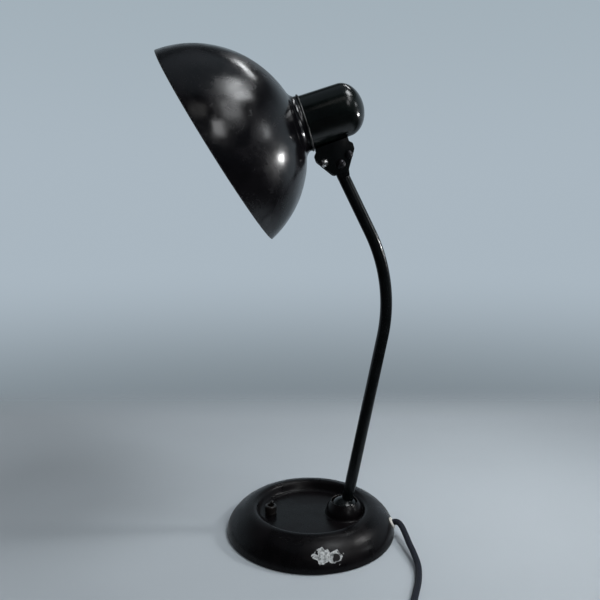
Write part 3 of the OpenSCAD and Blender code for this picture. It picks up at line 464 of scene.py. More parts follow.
class Graph:
    """A material, or the world, under construction: its end node and the nodes that feed it."""

    def __init__(self, name: str, world: bpy.types.World | None = None) -> None:
        """Starts a material with a Principled shader, or the nodes of a world.

        Args:
            name: the material's name.
            world: the world whose nodes are made instead of a material's.
        """
        owner = world or bpy.data.materials.new(name)
        owner.use_nodes = True
        self.material = owner
        self.tree = owner.node_tree
        self.tree.nodes.clear()
        self.out = self.tree.nodes.new("ShaderNodeOutputWorld" if world else "ShaderNodeOutputMaterial")
        if not world:
            self.shader = self.tree.nodes.new("ShaderNodeBsdfPrincipled")
            self.show(self.shader)

    def node(self, kind: str, inputs: dict[str | int, object] | None = None,
             **settings: object) -> bpy.types.Node:
        """Adds a node.

        Args:
            kind: Blender's name for it, without the leading ShaderNode.
            inputs: values or sockets for its inputs.
            settings: the node's own properties.

        Returns:
            The node.
        """
        made = self.tree.nodes.new("ShaderNode" + kind)
        for key, value in settings.items():
            setattr(made, key, value)
        for key, value in (inputs or {}).items():
            self.put(made.inputs[key], value)
        return made

    def show(self, shader: bpy.types.Node) -> None:
        """Makes a shader the one that is seen."""
        self.tree.links.new(shader.outputs[0], self.out.inputs["Surface"])

    def looked_at(self) -> bpy.types.NodeSocket:
        """1 for rays from the camera, a reflection or clear glass, and 0 for light that spreads."""
        path = self.node("LightPath")
        onward = self.calc("MAXIMUM", path.outputs["Is Glossy Ray"], path.outputs["Is Transmission Ray"])
        return self.calc("MAXIMUM", path.outputs["Is Camera Ray"], onward)

    def put(self, socket: bpy.types.NodeSocket, value: object) -> None:
        """Links a socket to an input, or sets the input's own value."""
        if isinstance(value, bpy.types.NodeSocket):
            self.tree.links.new(value, socket)
        elif isinstance(value, tuple) and len(value) == 3 and socket.type == "RGBA":
            socket.default_value = (*value, 1.0)
        else:
            socket.default_value = value

    def here(self) -> bpy.types.NodeSocket:
        """The point's place in metres."""
        return self.node("TexCoord").outputs["Object"]

    def noise(self, size: float, detail: float = 2.0, rough: float = 0.5,
              warp: float = 0.0) -> bpy.types.NodeSocket:
        """Cloudy noise from 0 to 1.

        Args:
            size: how many millimetres one cloud takes.
            detail: how many finer layers it has.
            rough: how strong the finer layers are.
            warp: how much it is distorted.

        Returns:
            The noise's value.
        """
        return self.node("TexNoise", {"Vector": self.here(), "Scale": 1.0 / MM / size, "Detail": detail,
                                      "Roughness": rough, "Distortion": warp}).outputs["Fac"]

    def calc(self, how: str, a: object, b: object = 0.0) -> bpy.types.NodeSocket:
        """One step of arithmetic, such as ADD or MULTIPLY."""
        return self.node("Math", {0: a, 1: b}, operation=how).outputs[0]

    def times(self, a: object, b: object) -> bpy.types.NodeSocket:
        """The product of two values."""
        return self.calc("MULTIPLY", a, b)

    def span(self, value: object, low: float, high: float, start: float = 0.0,
             end: float = 1.0) -> bpy.types.NodeSocket:
        """Carries the range from low to high over to the range from start to end, with soft ends."""
        return self.node("MapRange", {"Value": value, "From Min": low, "From Max": high, "To Min": start,
                                      "To Max": end}, interpolation_type="SMOOTHSTEP").outputs["Result"]

    def mix(self, share: object, a: object, b: object) -> bpy.types.NodeSocket:
        """A colour that goes from a to b with the share."""
        return self.node("Mix", {"Factor": share, 6: a, 7: b}, data_type="RGBA").outputs[2]

    def bump(self, height: bpy.types.NodeSocket, depth: float,
             under: bpy.types.NodeSocket | None = None) -> bpy.types.NodeSocket:
        """A relief whose full height is depth millimetres, on top of another one if given."""
        inputs: dict[str | int, object] = {"Height": height, "Distance": depth * MM, "Strength": 1.0}
        if under is not None:
            inputs["Normal"] = under
        return self.node("Bump", inputs).outputs[0]

    def wear(self) -> bpy.types.NodeSocket:
        """How rubbed the surface is, as its mesh says."""
        return self.node("Attribute", attribute_name="wear").outputs["Fac"]

    def finish(self, **values: object) -> bpy.types.Material:
        """Sets the shader's inputs and returns the material.

        Args:
            values: values or sockets by the input's name, with _ for a blank.

        Returns:
            The material.
        """
        for key, value in values.items():
            self.put(self.shader.inputs[key.replace("_", " ")], value)
        return self.material


@dataclass(frozen=True)
class Chip:
    """A place where the lacquer has come off.

    Attributes:
        at: its middle, in millimetres.
        half: its half widths along x, y and z.
        island: how much of its middle still has lacquer, from 0 to 1.
    """

    at: tuple[float, float, float]
    half: tuple[float, float, float]
    island: float = 0.0


@dataclass(frozen=True)
class Lacquer:
    """Old stoved lacquer: an even colour with cloudy gloss, a fine peel, dust and rubbed edges."""

    name: str
    colour: Colour = (0.010, 0.010, 0.012)
    tint: Colour = (0.016, 0.013, 0.018)
    gloss: float = 0.12
    haze: float = 0.16
    cloud_mm: float = 38.0
    peel_mm: float = 2.6
    peel_depth: float = 0.010
    shine: float = 0.3
    dust: float = 0.5
    rubbed: Colour = (0.20, 0.19, 0.18)
    dust_colour: Colour = (0.34, 0.33, 0.32)
    primer: Colour = (0.16, 0.17, 0.17)
    primer_light: Colour = (0.60, 0.62, 0.62)
    crust: Colour = (0.72, 0.74, 0.74)
    chip_depth: float = 0.22
    chips: tuple[Chip, ...] = ()

    def material(self) -> bpy.types.Material:
        """Builds the lacquer."""
        g = Graph(self.name)
        clouds = g.noise(self.cloud_mm, 4.0, 0.55, 0.4)
        smears = g.noise(self.cloud_mm / 5, 5.0, 0.6, 0.8)
        specks = g.span(g.noise(0.9, 2.0, 0.6), 0.68, 0.76)
        thin = g.times(g.span(g.noise(26.0, 3.0), 0.42, 0.68), self.dust)
        dusty = g.times(specks, thin)
        colour = g.mix(g.span(clouds, 0.35, 0.7), self.colour, self.tint)
        colour = g.mix(g.times(dusty, 0.22), colour, self.dust_colour)
        gloss = g.calc("ADD", self.gloss, g.times(g.span(clouds, 0.3, 0.75), self.haze))
        gloss = g.calc("ADD", gloss, g.times(g.span(smears, 0.5, 0.8), self.haze * 0.6))
        gloss = g.calc("ADD", gloss, g.times(dusty, 0.25))
        rubbing = g.wear()
        grain = g.calc("SUBTRACT", g.noise(1.6, 4.0, 0.7), 0.5)
        worn = g.span(g.calc("ADD", rubbing, g.times(grain, 0.9)), 0.55, 0.8)
        relief = g.bump(g.noise(self.peel_mm, 2.0, 0.5), self.peel_depth)
        relief = g.bump(g.noise(14.0, 1.0, 0.4), self.peel_depth * 5, relief)
        colour = g.mix(worn, colour, self.rubbed)
        gloss = g.calc("ADD", gloss, g.times(worn, 0.22))
        for chip in self.chips:
            bare, crust = self.chip_masks(g, chip)
            primer = g.mix(g.span(g.noise(2.6, 4.0, 0.7), 0.35, 0.65), self.primer, self.primer_light)
            colour = g.mix(bare, colour, primer)
            colour = g.mix(g.times(crust, 0.5), colour, self.crust)
            gloss = g.calc("ADD", gloss, g.times(bare, 0.4))
            relief = g.bump(g.times(bare, -1.0), self.chip_depth, relief)
        metal = g.times(worn, 0.7)
        return g.finish(Base_Color=colour, Roughness=gloss, Metallic=metal, Normal=relief,
                        Specular_IOR_Level=self.shine)

    def chip_masks(self, g: Graph, chip: Chip) -> tuple[bpy.types.NodeSocket, bpy.types.NodeSocket]:
        """The chip's bare ground, and the pale crust along its edge.

        The distance from the middle, in half widths, is made ragged by noise and cut off at 1. A second,
        smaller cut leaves an island of lacquer in the middle.

        Args:
            g: the material's graph.
            chip: the chip.

        Returns:
            The two masks.
        """
        scale = tuple(1.0 / (h * MM) for h in chip.half)
        place = tuple(-c / h for c, h in zip(chip.at, chip.half))
        near = g.node("Mapping", {"Vector": g.here(), "Location": place, "Scale": scale}).outputs[0]
        far = g.node("VectorMath", {0: near}, operation="LENGTH").outputs["Value"]
        torn = g.calc("SUBTRACT", g.noise(7.0, 3.0, 0.55, 0.5), 0.5)
        edge = g.calc("ADD", far, g.times(torn, 2.4))
        bare = g.span(edge, 1.05, 0.93)
        left = g.calc("ADD", far, g.times(torn, -1.2))
        island = g.times(g.span(left, 0.68, 0.56), chip.island)
        crust = g.times(g.span(edge, 0.72, 0.92), bare)
        return g.times(bare, g.calc("SUBTRACT", 1.0, island)), crust


@dataclass(frozen=True)
class Enamel:
    """White stoved enamel inside the shade, a little yellowed, with a soft gloss."""

    name: str
    colour: Colour = (0.80, 0.79, 0.75)
    aged: Colour = (0.68, 0.64, 0.55)

    def material(self) -> bpy.types.Material:
        """Builds the enamel."""
        g = Graph(self.name)
        clouds = g.span(g.noise(45.0, 4.0, 0.6), 0.4, 0.75)
        specks = g.span(g.noise(1.2, 2.0, 0.6), 0.72, 0.78)
        colour = g.mix(g.times(clouds, 0.6), self.colour, self.aged)
        colour = g.mix(g.times(specks, 0.35), colour, (0.30, 0.26, 0.20))
        gloss = g.calc("ADD", 0.28, g.times(clouds, 0.16))
        return g.finish(Base_Color=colour, Roughness=gloss, Normal=g.bump(g.noise(2.2), 0.012))


@dataclass(frozen=True)
class Metal:
    """Bare or plated metal with fine marks and tarnish."""

    name: str
    colour: Colour = (0.62, 0.62, 0.61)
    tarnish: Colour = (0.34, 0.33, 0.31)
    amount: float = 0.5
    gloss: float = 0.26
    marks_mm: float = 0.35
    spot_mm: float = 6.0

    def material(self) -> bpy.types.Material:
        """Builds the metal."""
        g = Graph(self.name)
        stain = g.span(g.noise(self.spot_mm, 5.0, 0.65, 0.5), 0.42, 0.72)
        colour = g.mix(g.times(stain, self.amount), self.colour, self.tarnish)
        marks = g.noise(self.marks_mm, 3.0, 0.7)
        gloss = g.calc("ADD", self.gloss, g.times(stain, 0.2))
        gloss = g.calc("ADD", gloss, g.times(marks, 0.10))
        return g.finish(Base_Color=colour, Metallic=1.0, Roughness=gloss, Normal=g.bump(marks, 0.006))


@dataclass(frozen=True)
class Moulded:
    """Moulded resin, porcelain or rubber: a plain colour with faint flow marks."""

    name: str
    colour: Colour
    flow: Colour
    gloss: float = 0.32
    flow_mm: float = 9.0
    grain_mm: float = 0.7
    grain_depth: float = 0.012
    coat: float = 0.0

    def material(self) -> bpy.types.Material:
        """Builds the moulding's finish."""
        g = Graph(self.name)
        flow = g.span(g.noise(self.flow_mm, 5.0, 0.6, 1.4), 0.38, 0.70)
        colour = g.mix(flow, self.colour, self.flow)
        gloss = g.calc("ADD", self.gloss, g.times(g.noise(self.flow_mm * 2, 3.0), 0.14))
        return g.finish(Base_Color=colour, Roughness=gloss, Coat_Weight=self.coat,
                        Normal=g.bump(g.noise(self.grain_mm, 3.0), self.grain_depth))


@dataclass(frozen=True)
class Braid:
    """Cotton braid: two sets of yarns that cross over and under, read from the piece's own weave."""

    name: str
    colour: Colour = (0.0055, 0.0075, 0.0150)
    light: Colour = (0.0150, 0.0190, 0.0330)
    fleck: Colour = (0.060, 0.065, 0.085)
    relief: float = 0.30

    def material(self) -> bpy.types.Material:
        """Builds the braid.

        U and V count the yarns round and along. Yarns run along u + v and u - v; each has a round section,
        and which set lies on top alternates like a chessboard.

        Returns:
            The material.
        """
        g = Graph(self.name)
        parts = g.node("SeparateXYZ", {0: g.node("UVMap", uv_map="weave").outputs[0]})
        u, v = parts.outputs[0], parts.outputs[1]
        sums = (g.calc("ADD", u, v), g.calc("SUBTRACT", u, v))
        rounds = [g.calc("ABSOLUTE", g.calc("SINE", g.times(s, math.pi))) for s in sums]
        tops = [g.calc("SINE", g.times(s, math.pi)) for s in sums]
        board = g.span(g.times(tops[0], tops[1]), -0.25, 0.25)
        height = g.calc("ADD", g.times(rounds[0], board),
                        g.times(rounds[1], g.calc("SUBTRACT", 1.0, board)))
        fibres = g.noise(0.25, 3.0, 0.7)
        # painted light and shade: the yarns' raised crests are lighter and the grooves between them darker,
        # following the weave's height
        colour = g.mix(g.times(g.span(height, 0.25, 0.95), g.span(fibres, 0.2, 0.8)), self.colour,
                       self.light)
        colour = g.mix(g.times(g.span(g.noise(1.4, 2.0), 0.66, 0.74), 0.5), colour, self.fleck)
        return g.finish(Base_Color=colour, Roughness=0.88, Specular_IOR_Level=0.25, Sheen_Weight=0.06,
                        Sheen_Roughness=0.5, Normal=g.bump(fibres, 0.05, g.bump(height, self.relief)))


@dataclass(frozen=True)
class Fibres:
    """Felt or pressed fibre: matted threads."""

    name: str
    colour: Colour
    light: Colour
    thread_mm: float = 0.6
    depth: float = 0.12

    def material(self) -> bpy.types.Material:
        """Builds the felt."""
        g = Graph(self.name)
        mat = g.noise(self.thread_mm, 5.0, 0.75, 2.5)
        patches = g.noise(22.0, 3.0)
        # painted light and shade: where the relief's threads stand high the colour is lighter, in patches,
        # and the hollows darker
        lit_raised_threads = g.times(g.span(mat, 0.3, 0.75), g.span(patches, 0.2, 0.8))
        colour = g.mix(lit_raised_threads, self.colour, self.light)
        return g.finish(Base_Color=colour, Roughness=0.95, Sheen_Weight=0.25, Normal=g.bump(mat, self.depth))


@dataclass(frozen=True)
class Glass:
    """Clear thin glass with a faint film of dust."""

    name: str
    colour: Colour = (0.97, 0.98, 0.97)
    gloss: float = 0.02
    film: float = 0.05

    def material(self) -> bpy.types.Material:
        """Builds the glass."""
        g = Graph(self.name)
        film = g.times(g.span(g.noise(12.0, 4.0), 0.4, 0.8), self.film)
        return g.finish(Base_Color=self.colour, Roughness=g.calc("ADD", self.gloss, film), IOR=1.5,
                        Transmission_Weight=1.0, Normal=g.bump(g.noise(9.0, 1.0), 0.01))


class Slot(str, Enum):
    """The record's material slots."""

    FOOT_PAINT = "foot_paint"
    BLACK_PAINT = "black_paint"
    HOUSING_PAINT = "housing_paint"
    SHADE_PAINT = "shade_paint"
    BLACK_STEEL = "black_steel"
    BRIGHT_STEEL = "bright_steel"
    ZINC = "zinc_plate"
    SPRING = "spring_steel"
    BRASS = "brass"
    BAKELITE = "bakelite"
    BUSH = "bush_white"
    BRAID = "cord_braid"
    SLEEVE = "lead_sleeve"
    TIE = "tie_rubber"
    PLUG = "plug_black"
    PINS = "plug_metal"
    PORCELAIN = "porcelain"
    GLASS = "bulb_glass"
    FILAMENT = "filament"
    FELT = "felt"
    FIBRE = "fibre"


FINISHES: dict[Slot, Lacquer | Enamel | Metal | Moulded | Braid | Fibres | Glass] = {
    Slot.FOOT_PAINT: Lacquer(
        "foot lacquer", (0.0022, 0.0020, 0.0024), (0.0040, 0.0030, 0.0036), gloss=0.22, haze=0.16,
        cloud_mm=30, peel_mm=3.2, peel_depth=0.010, shine=0.13, rubbed=(0.20, 0.17, 0.15),
        chips=(Chip((9.0, -80.0, 14.4), (8.4, 7.5, 5.2)), Chip((22.0, -80.2, 13.4), (6.6, 6.5, 5.6), 1.0))),
    Slot.BLACK_PAINT: Lacquer("arm lacquer", (0.0022, 0.0032, 0.0034), (0.0036, 0.0044, 0.0048), gloss=0.18,
                              haze=0.08, cloud_mm=16, peel_depth=0.006, shine=0.26, dust=0.25),
    Slot.HOUSING_PAINT: Lacquer("housing lacquer", (0.0016, 0.0026, 0.0026), (0.0026, 0.0048, 0.0042),
                                gloss=0.13, haze=0.12, cloud_mm=20, peel_depth=0.012, shine=0.4, dust=0.3),
    Slot.SHADE_PAINT: Lacquer("shade lacquer", (0.0026, 0.0024, 0.0032), (0.0046, 0.0038, 0.0054), gloss=0.13,
                              haze=0.20, cloud_mm=34, peel_mm=1.8, peel_depth=0.006, shine=0.42, dust=0.6,
                              rubbed=(0.10, 0.10, 0.10)),
    Slot.BLACK_STEEL: Metal("blackened steel", (0.045, 0.045, 0.050), (0.020, 0.019, 0.019), 0.7, 0.34),
    Slot.BRIGHT_STEEL: Metal("bright steel", (0.78, 0.78, 0.77), (0.48, 0.46, 0.43), 0.35, 0.16, 0.22, 2.4),
    Slot.ZINC: Metal("zinc plate", (0.46, 0.48, 0.49), (0.26, 0.27, 0.27), 0.6, 0.36, 0.5, 11.0),
    Slot.SPRING: Metal("spring steel", (0.36, 0.37, 0.39), (0.14, 0.13, 0.12), 0.6, 0.30),
    Slot.BRASS: Metal("brass", (0.56, 0.40, 0.16), (0.24, 0.16, 0.07), 0.55, 0.27, 0.3, 5.0),
    Slot.BAKELITE: Moulded("bakelite", (0.0060, 0.0050, 0.0048), (0.0120, 0.0080, 0.0070), 0.30),
    Slot.BUSH: Moulded("white bush", (0.84, 0.83, 0.78), (0.70, 0.67, 0.60), 0.34, 3.0, 0.5, 0.010),
    Slot.BRAID: Braid("cotton braid"),
    Slot.SLEEVE: Moulded("lead sleeve", (0.022, 0.024, 0.028), (0.034, 0.036, 0.040), 0.62, 3.0, 0.3, 0.03),
    Slot.TIE: Moulded("tie rubber", (0.016, 0.016, 0.017), (0.026, 0.026, 0.027), 0.58, 4.0, 0.3, 0.02),
    Slot.PLUG: Moulded("plug moulding", (0.014, 0.014, 0.015), (0.024, 0.023, 0.023), 0.36, 7.0, 0.35, 0.02),
    Slot.PINS: Metal("nickel plate", (0.70, 0.68, 0.63), (0.42, 0.40, 0.36), 0.3, 0.18, 0.3, 5.0),
    Slot.PORCELAIN: Moulded("porcelain", (0.76, 0.74, 0.69), (0.62, 0.58, 0.50), 0.14, 12.0, 1.0, 0.006, 0.5),
    Slot.GLASS: Glass("bulb glass"),
    Slot.FILAMENT: Metal("filament wire", (0.30, 0.30, 0.31), (0.15, 0.15, 0.15), 0.4, 0.42, 0.2, 3.0),
    Slot.FELT: Fibres("felt", (0.010, 0.020, 0.014), (0.045, 0.070, 0.052)),
    Slot.FIBRE: Fibres("pressed fibre", (0.16, 0.10, 0.05), (0.27, 0.19, 0.11), 0.4, 0.05),
}
WHITE_ENAMEL = Enamel("white enamel")
RUBBED_RING = Metal("rubbed ring", (0.12, 0.12, 0.12), (0.010, 0.011, 0.011), 0.9, 0.42, 0.3, 9.0)
PIECE_CREASE = 38.0  # an edge of a piece that turns by more degrees than this stays sharp
NODE_CREASE = 32.0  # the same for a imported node
WELD_REACH = 0.00001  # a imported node's corners that are closer than this, in metres, are one


class Paintshop:
    """Makes each finish once and hands it out."""

    def __init__(self) -> None:
        """Starts with no material made."""
        self.made: dict[str, bpy.types.Material] = {}

    def get(self, finish: Slot | Enamel | Metal) -> bpy.types.Material:
        """The material of a slot, or of a finish of its own, made when first asked for."""
        source = FINISHES[finish] if isinstance(finish, Slot) else finish
        if source.name not in self.made:
            self.made[source.name] = source.material()
        return self.made[source.name]


class Workshop:
    """Turns shells into pieces on the frame, and dresses the nodes that keep their own mesh."""

    def __init__(self, nodes: dict[str, bpy.types.Object]) -> None:
        """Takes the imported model's nodes.

        Args:
            nodes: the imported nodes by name.
        """
        self.nodes = nodes
        self.paint = Paintshop()
        self.dressed: set[str] = set()

    def piece(self, name: str, shell: Shell, body: Body, slot: Slot, replaced: Sequence[str],
              inside: Enamel | None = None, crease: float = PIECE_CREASE,
              own: Metal | None = None) -> bpy.types.Object:
        """Makes a piece from a shell.

        Args:
            name: the piece's name.
            shell: its surface, in millimetres.
            body: what it moves with.
            slot: the slot of its finish.
            replaced: the nodes that it stands for.
            inside: a second finish, for faces painted 1.
            crease: an edge that turns by more degrees than this stays sharp.
            own: a finish that takes the place of the slot's.

        Returns:
            The piece.
        """
        mesh = bpy.data.meshes.new(name)
        faces = [f for block in shell.faces for f in block.tolist()]
        mesh.from_pydata((shell.points * MM).tolist(), [], faces)
        mesh.polygons.foreach_set("material_index", np.concatenate(shell.paint).astype(np.int32))
        mesh.attributes.new("wear", "FLOAT", "POINT").data.foreach_set(
            "value", (np.zeros(len(shell.points)) if shell.wear is None else shell.wear).astype(np.float32))
        if shell.weave:
            layer = mesh.uv_layers.new(name="weave")
            layer.data.foreach_set("uv", np.concatenate([w.reshape(-1, 2) for w in shell.weave]).ravel())
        for finish in [own or slot] + ([inside] if inside else []):
            mesh.materials.append(self.paint.get(finish))
        mesh.shade_smooth()
        mesh.set_sharp_from_angle(angle=math.radians(crease))
        mesh.update()
        made = bpy.data.objects.new(name, mesh)
        bpy.context.scene.collection.objects.link(made)
        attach(made, body.value)
        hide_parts(*replaced)
        self.dressed.update(replaced)
        log.info("%s: %d faces on %s", name, len(faces), body.value)
        return made

    def dress(self, slot: Slot, *names: str) -> None:
        """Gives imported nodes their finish, and smooths the shading of their round faces.

        Args:
            slot: the slot of the finish.
            names: the nodes.
        """
        for name in names:
            node = self.nodes[name]
            node.data.materials.clear()
            node.data.materials.append(self.paint.get(slot))
            node.data.polygons.foreach_set("use_smooth", np.ones(len(node.data.polygons), bool))
            weld = node.modifiers.new("weld", "WELD")
            weld.merge_threshold = WELD_REACH
            split = node.modifiers.new("split", "EDGE_SPLIT")
            split.split_angle = math.radians(NODE_CREASE)
            self.dressed.add(name)
            log.info("%s dressed as %s", name, slot.value)


# ---- sub-assemblies -------------------------------------------------------


@dataclass
class Studio:
    """The camera, a pale seamless ground and the soft lights round the lamp.

    The camera's places are in millimetres. The ground's half width, the point that its reflection darkens
    away from, and the lamps' distances are in metres.
    """

    camera_at: tuple[float, float, float] = (-11.2, -597.5, 324.7)
    camera_dip: float = 7.79
    focus_mm: float = 36.0
    ground: Colour = (0.50, 0.55, 0.59)
    wall_foot: Colour = (0.21, 0.25, 0.28)
    wall: Colour = (0.40, 0.47, 0.53)
    wall_top: Colour = (0.36, 0.43, 0.48)
    reflected_shade: Colour = (0.03, 0.03, 0.03)
    behind: float = 0.10
    ceiling: float = 0.5
    sky: float = 0.22
    aim: tuple[float, float, float] = (0.0, 0.0, 230.0)
    sensor_mm: float = 36.0
    ground_half: float = 5.0
    ground_mottle_mm: float = 420.0
    mirrored_from: tuple[float, float, float] = (0.05, 0.15, 0.0)
    sky_light: Colour = (0.92, 0.96, 1.0)

    def build(self) -> None:
        """Makes the camera, the ground, the sky and the lamps."""
        self.camera()
        self.floor()
        self.world()
        self.lamp("front panel", 5, 44, (14, 12), 0.8, (1.0, 0.99, 0.97))
        self.lamp("high window", 68, 65, (17, 16), 13.0, (0.95, 0.98, 1.0), far=1.25)
        self.lamp("middle window", 46, 45, (15, 17), 5.0, (0.96, 0.98, 1.0))
        self.lamp("low window", 27, 27, (11, 15), 5.0, (0.97, 0.98, 1.0))
        self.lamp("right window", 81, 24, (8, 9), 8.0, (0.94, 0.97, 1.0))
        self.lamp("right spot", 91.5, 21.7, (4.0, 4.0), 260.0, (1.0, 1.0, 1.0), far=0.43)
        self.lamp("back strip", 148, 57, (18, 4), 11.0, (0.95, 0.98, 1.0))
        bpy.context.scene.view_settings.view_transform = "Standard"

    def camera(self) -> None:
        """The camera at the height and dip that show the lamp as it stands."""
        data = bpy.data.cameras.new("camera")
        data.lens = self.focus_mm
        data.sensor_width = self.sensor_mm
        data.sensor_fit = "HORIZONTAL"
        data.clip_start = 0.01
        seen = bpy.data.objects.new("camera", data)
        seen.location = [v * MM for v in self.camera_at]
        seen.rotation_euler = (math.radians(90 - self.camera_dip), 0, 0)
        bpy.context.scene.collection.objects.link(seen)
        bpy.context.scene.camera = seen

    def lamp(self, name: str, azimuth: float, rise: float, spread: tuple[float, float], glow: float,
             colour: Colour, far: float = 3.2) -> None:
        """One soft area lamp that faces the lamp's middle.

        Its power is its glow times pi times its area, so the glow is what a reflection of it shows.

        Args:
            name: the lamp's name.
            azimuth: degrees from the camera's side towards the right.
            rise: degrees above level.
            spread: the angles that its width and height take, in degrees.
            glow: its brightness, where 1 is white.
            colour: the light's colour.
            far: its distance in metres.
        """
        a, e = math.radians(azimuth), math.radians(rise)
        way = np.array([math.sin(a) * math.cos(e), -math.cos(a) * math.cos(e), math.sin(e)])
        wide, high = (2 * far * math.tan(math.radians(v) / 2) for v in spread)
        data = bpy.data.lights.new(name, "AREA")
        data.shape = "RECTANGLE"
        data.size, data.size_y = wide, high
        data.energy = glow * math.pi * wide * high
        data.color = colour
        lit = bpy.data.objects.new(name, data)
        lit.location = (np.array(self.aim) * MM + way * far).tolist()
        lit.rotation_euler = (math.radians(90 - rise), 0, a)
        bpy.context.scene.collection.objects.link(lit)

    def floor(self) -> None:
        """A wide ground whose far part lets the camera and reflections see the wall's colour instead."""
        mesh = bpy.data.meshes.new("ground")
        s = self.ground_half
        mesh.from_pydata([(-s, -s, 0), (s, -s, 0), (s, s, 0), (-s, s, 0)], [], [(0, 1, 2, 3)])
        made = bpy.data.objects.new("ground", mesh)
        bpy.context.scene.collection.objects.link(made)
        g = Graph("ground paper")
        mottle = g.span(g.noise(self.ground_mottle_mm, 3.0), 0.3, 0.7)
        colour = g.mix(mottle, self.ground, tuple(c * 0.95 for c in self.ground))
        apart = g.node("VectorMath", {0: g.here(), 1: self.mirrored_from},
                       operation="DISTANCE").outputs["Value"]
        # painted shade: in reflections only, the ground's colour darkens towards the dark colour the further
        # it lies from mirrored_from
        shade = g.times(g.span(apart, 0.24, 0.48), g.node("LightPath").outputs["Is Glossy Ray"])
        g.finish(Base_Color=g.mix(shade, colour, self.reflected_shade), Roughness=0.7, Specular_IOR_Level=0.2)
        depth = g.node("SeparateXYZ", {0: g.here()}).outputs[1]
        far = g.node("VectorMath", {0: g.here()}, operation="LENGTH").outputs["Value"]
        gone = g.calc("MAXIMUM", g.span(depth, 0.33, 0.54), g.span(far, 1.4, 3.6))
        clear = g.node("BsdfTransparent")
        g.show(g.node("MixShader", {0: g.times(gone, g.looked_at()), 1: g.shader.outputs[0],
                                    2: clear.outputs[0]}))
        mesh.materials.append(g.material)

    def world(self) -> None:
        """The sky: the wall's colour to the camera and to reflections, and a dim even light to all else.

        The wall is darker at its foot and a little darker at its top. Reflections see a dim room wherever the
        wall isn't: on the camera's side, and above the wall up to a pale ceiling.
        """
        sky = bpy.data.worlds.new("studio")
        bpy.context.scene.world = sky
        g = Graph("studio", sky)
        way = g.node("SeparateXYZ", {0: g.node("TexCoord").outputs["Generated"]})
        colour = g.mix(g.span(way.outputs[2], -0.30, -0.08), self.wall_foot, self.wall)
        colour = g.mix(g.span(way.outputs[2], 0.05, 0.40), colour, self.wall_top)
        side = g.span(way.outputs[1], -0.25, 0.35, self.behind, 1.0)
        above = g.span(way.outputs[2], 0.46, 0.70, 1.0, self.behind)
        ceiling = g.span(way.outputs[2], 0.80, 0.93, 0.0, self.ceiling)
        dim = g.calc("MAXIMUM", g.times(side, above), ceiling)
        level = g.calc("MAXIMUM", dim, g.node("LightPath").outputs["Is Camera Ray"])
        shown = g.node("Background", {"Color": colour, "Strength": level})
        light = g.node("Background", {"Color": self.sky_light, "Strength": self.sky})
        g.show(g.node("MixShader", {0: g.looked_at(), 1: light.outputs[0], 2: shown.outputs[0]}))


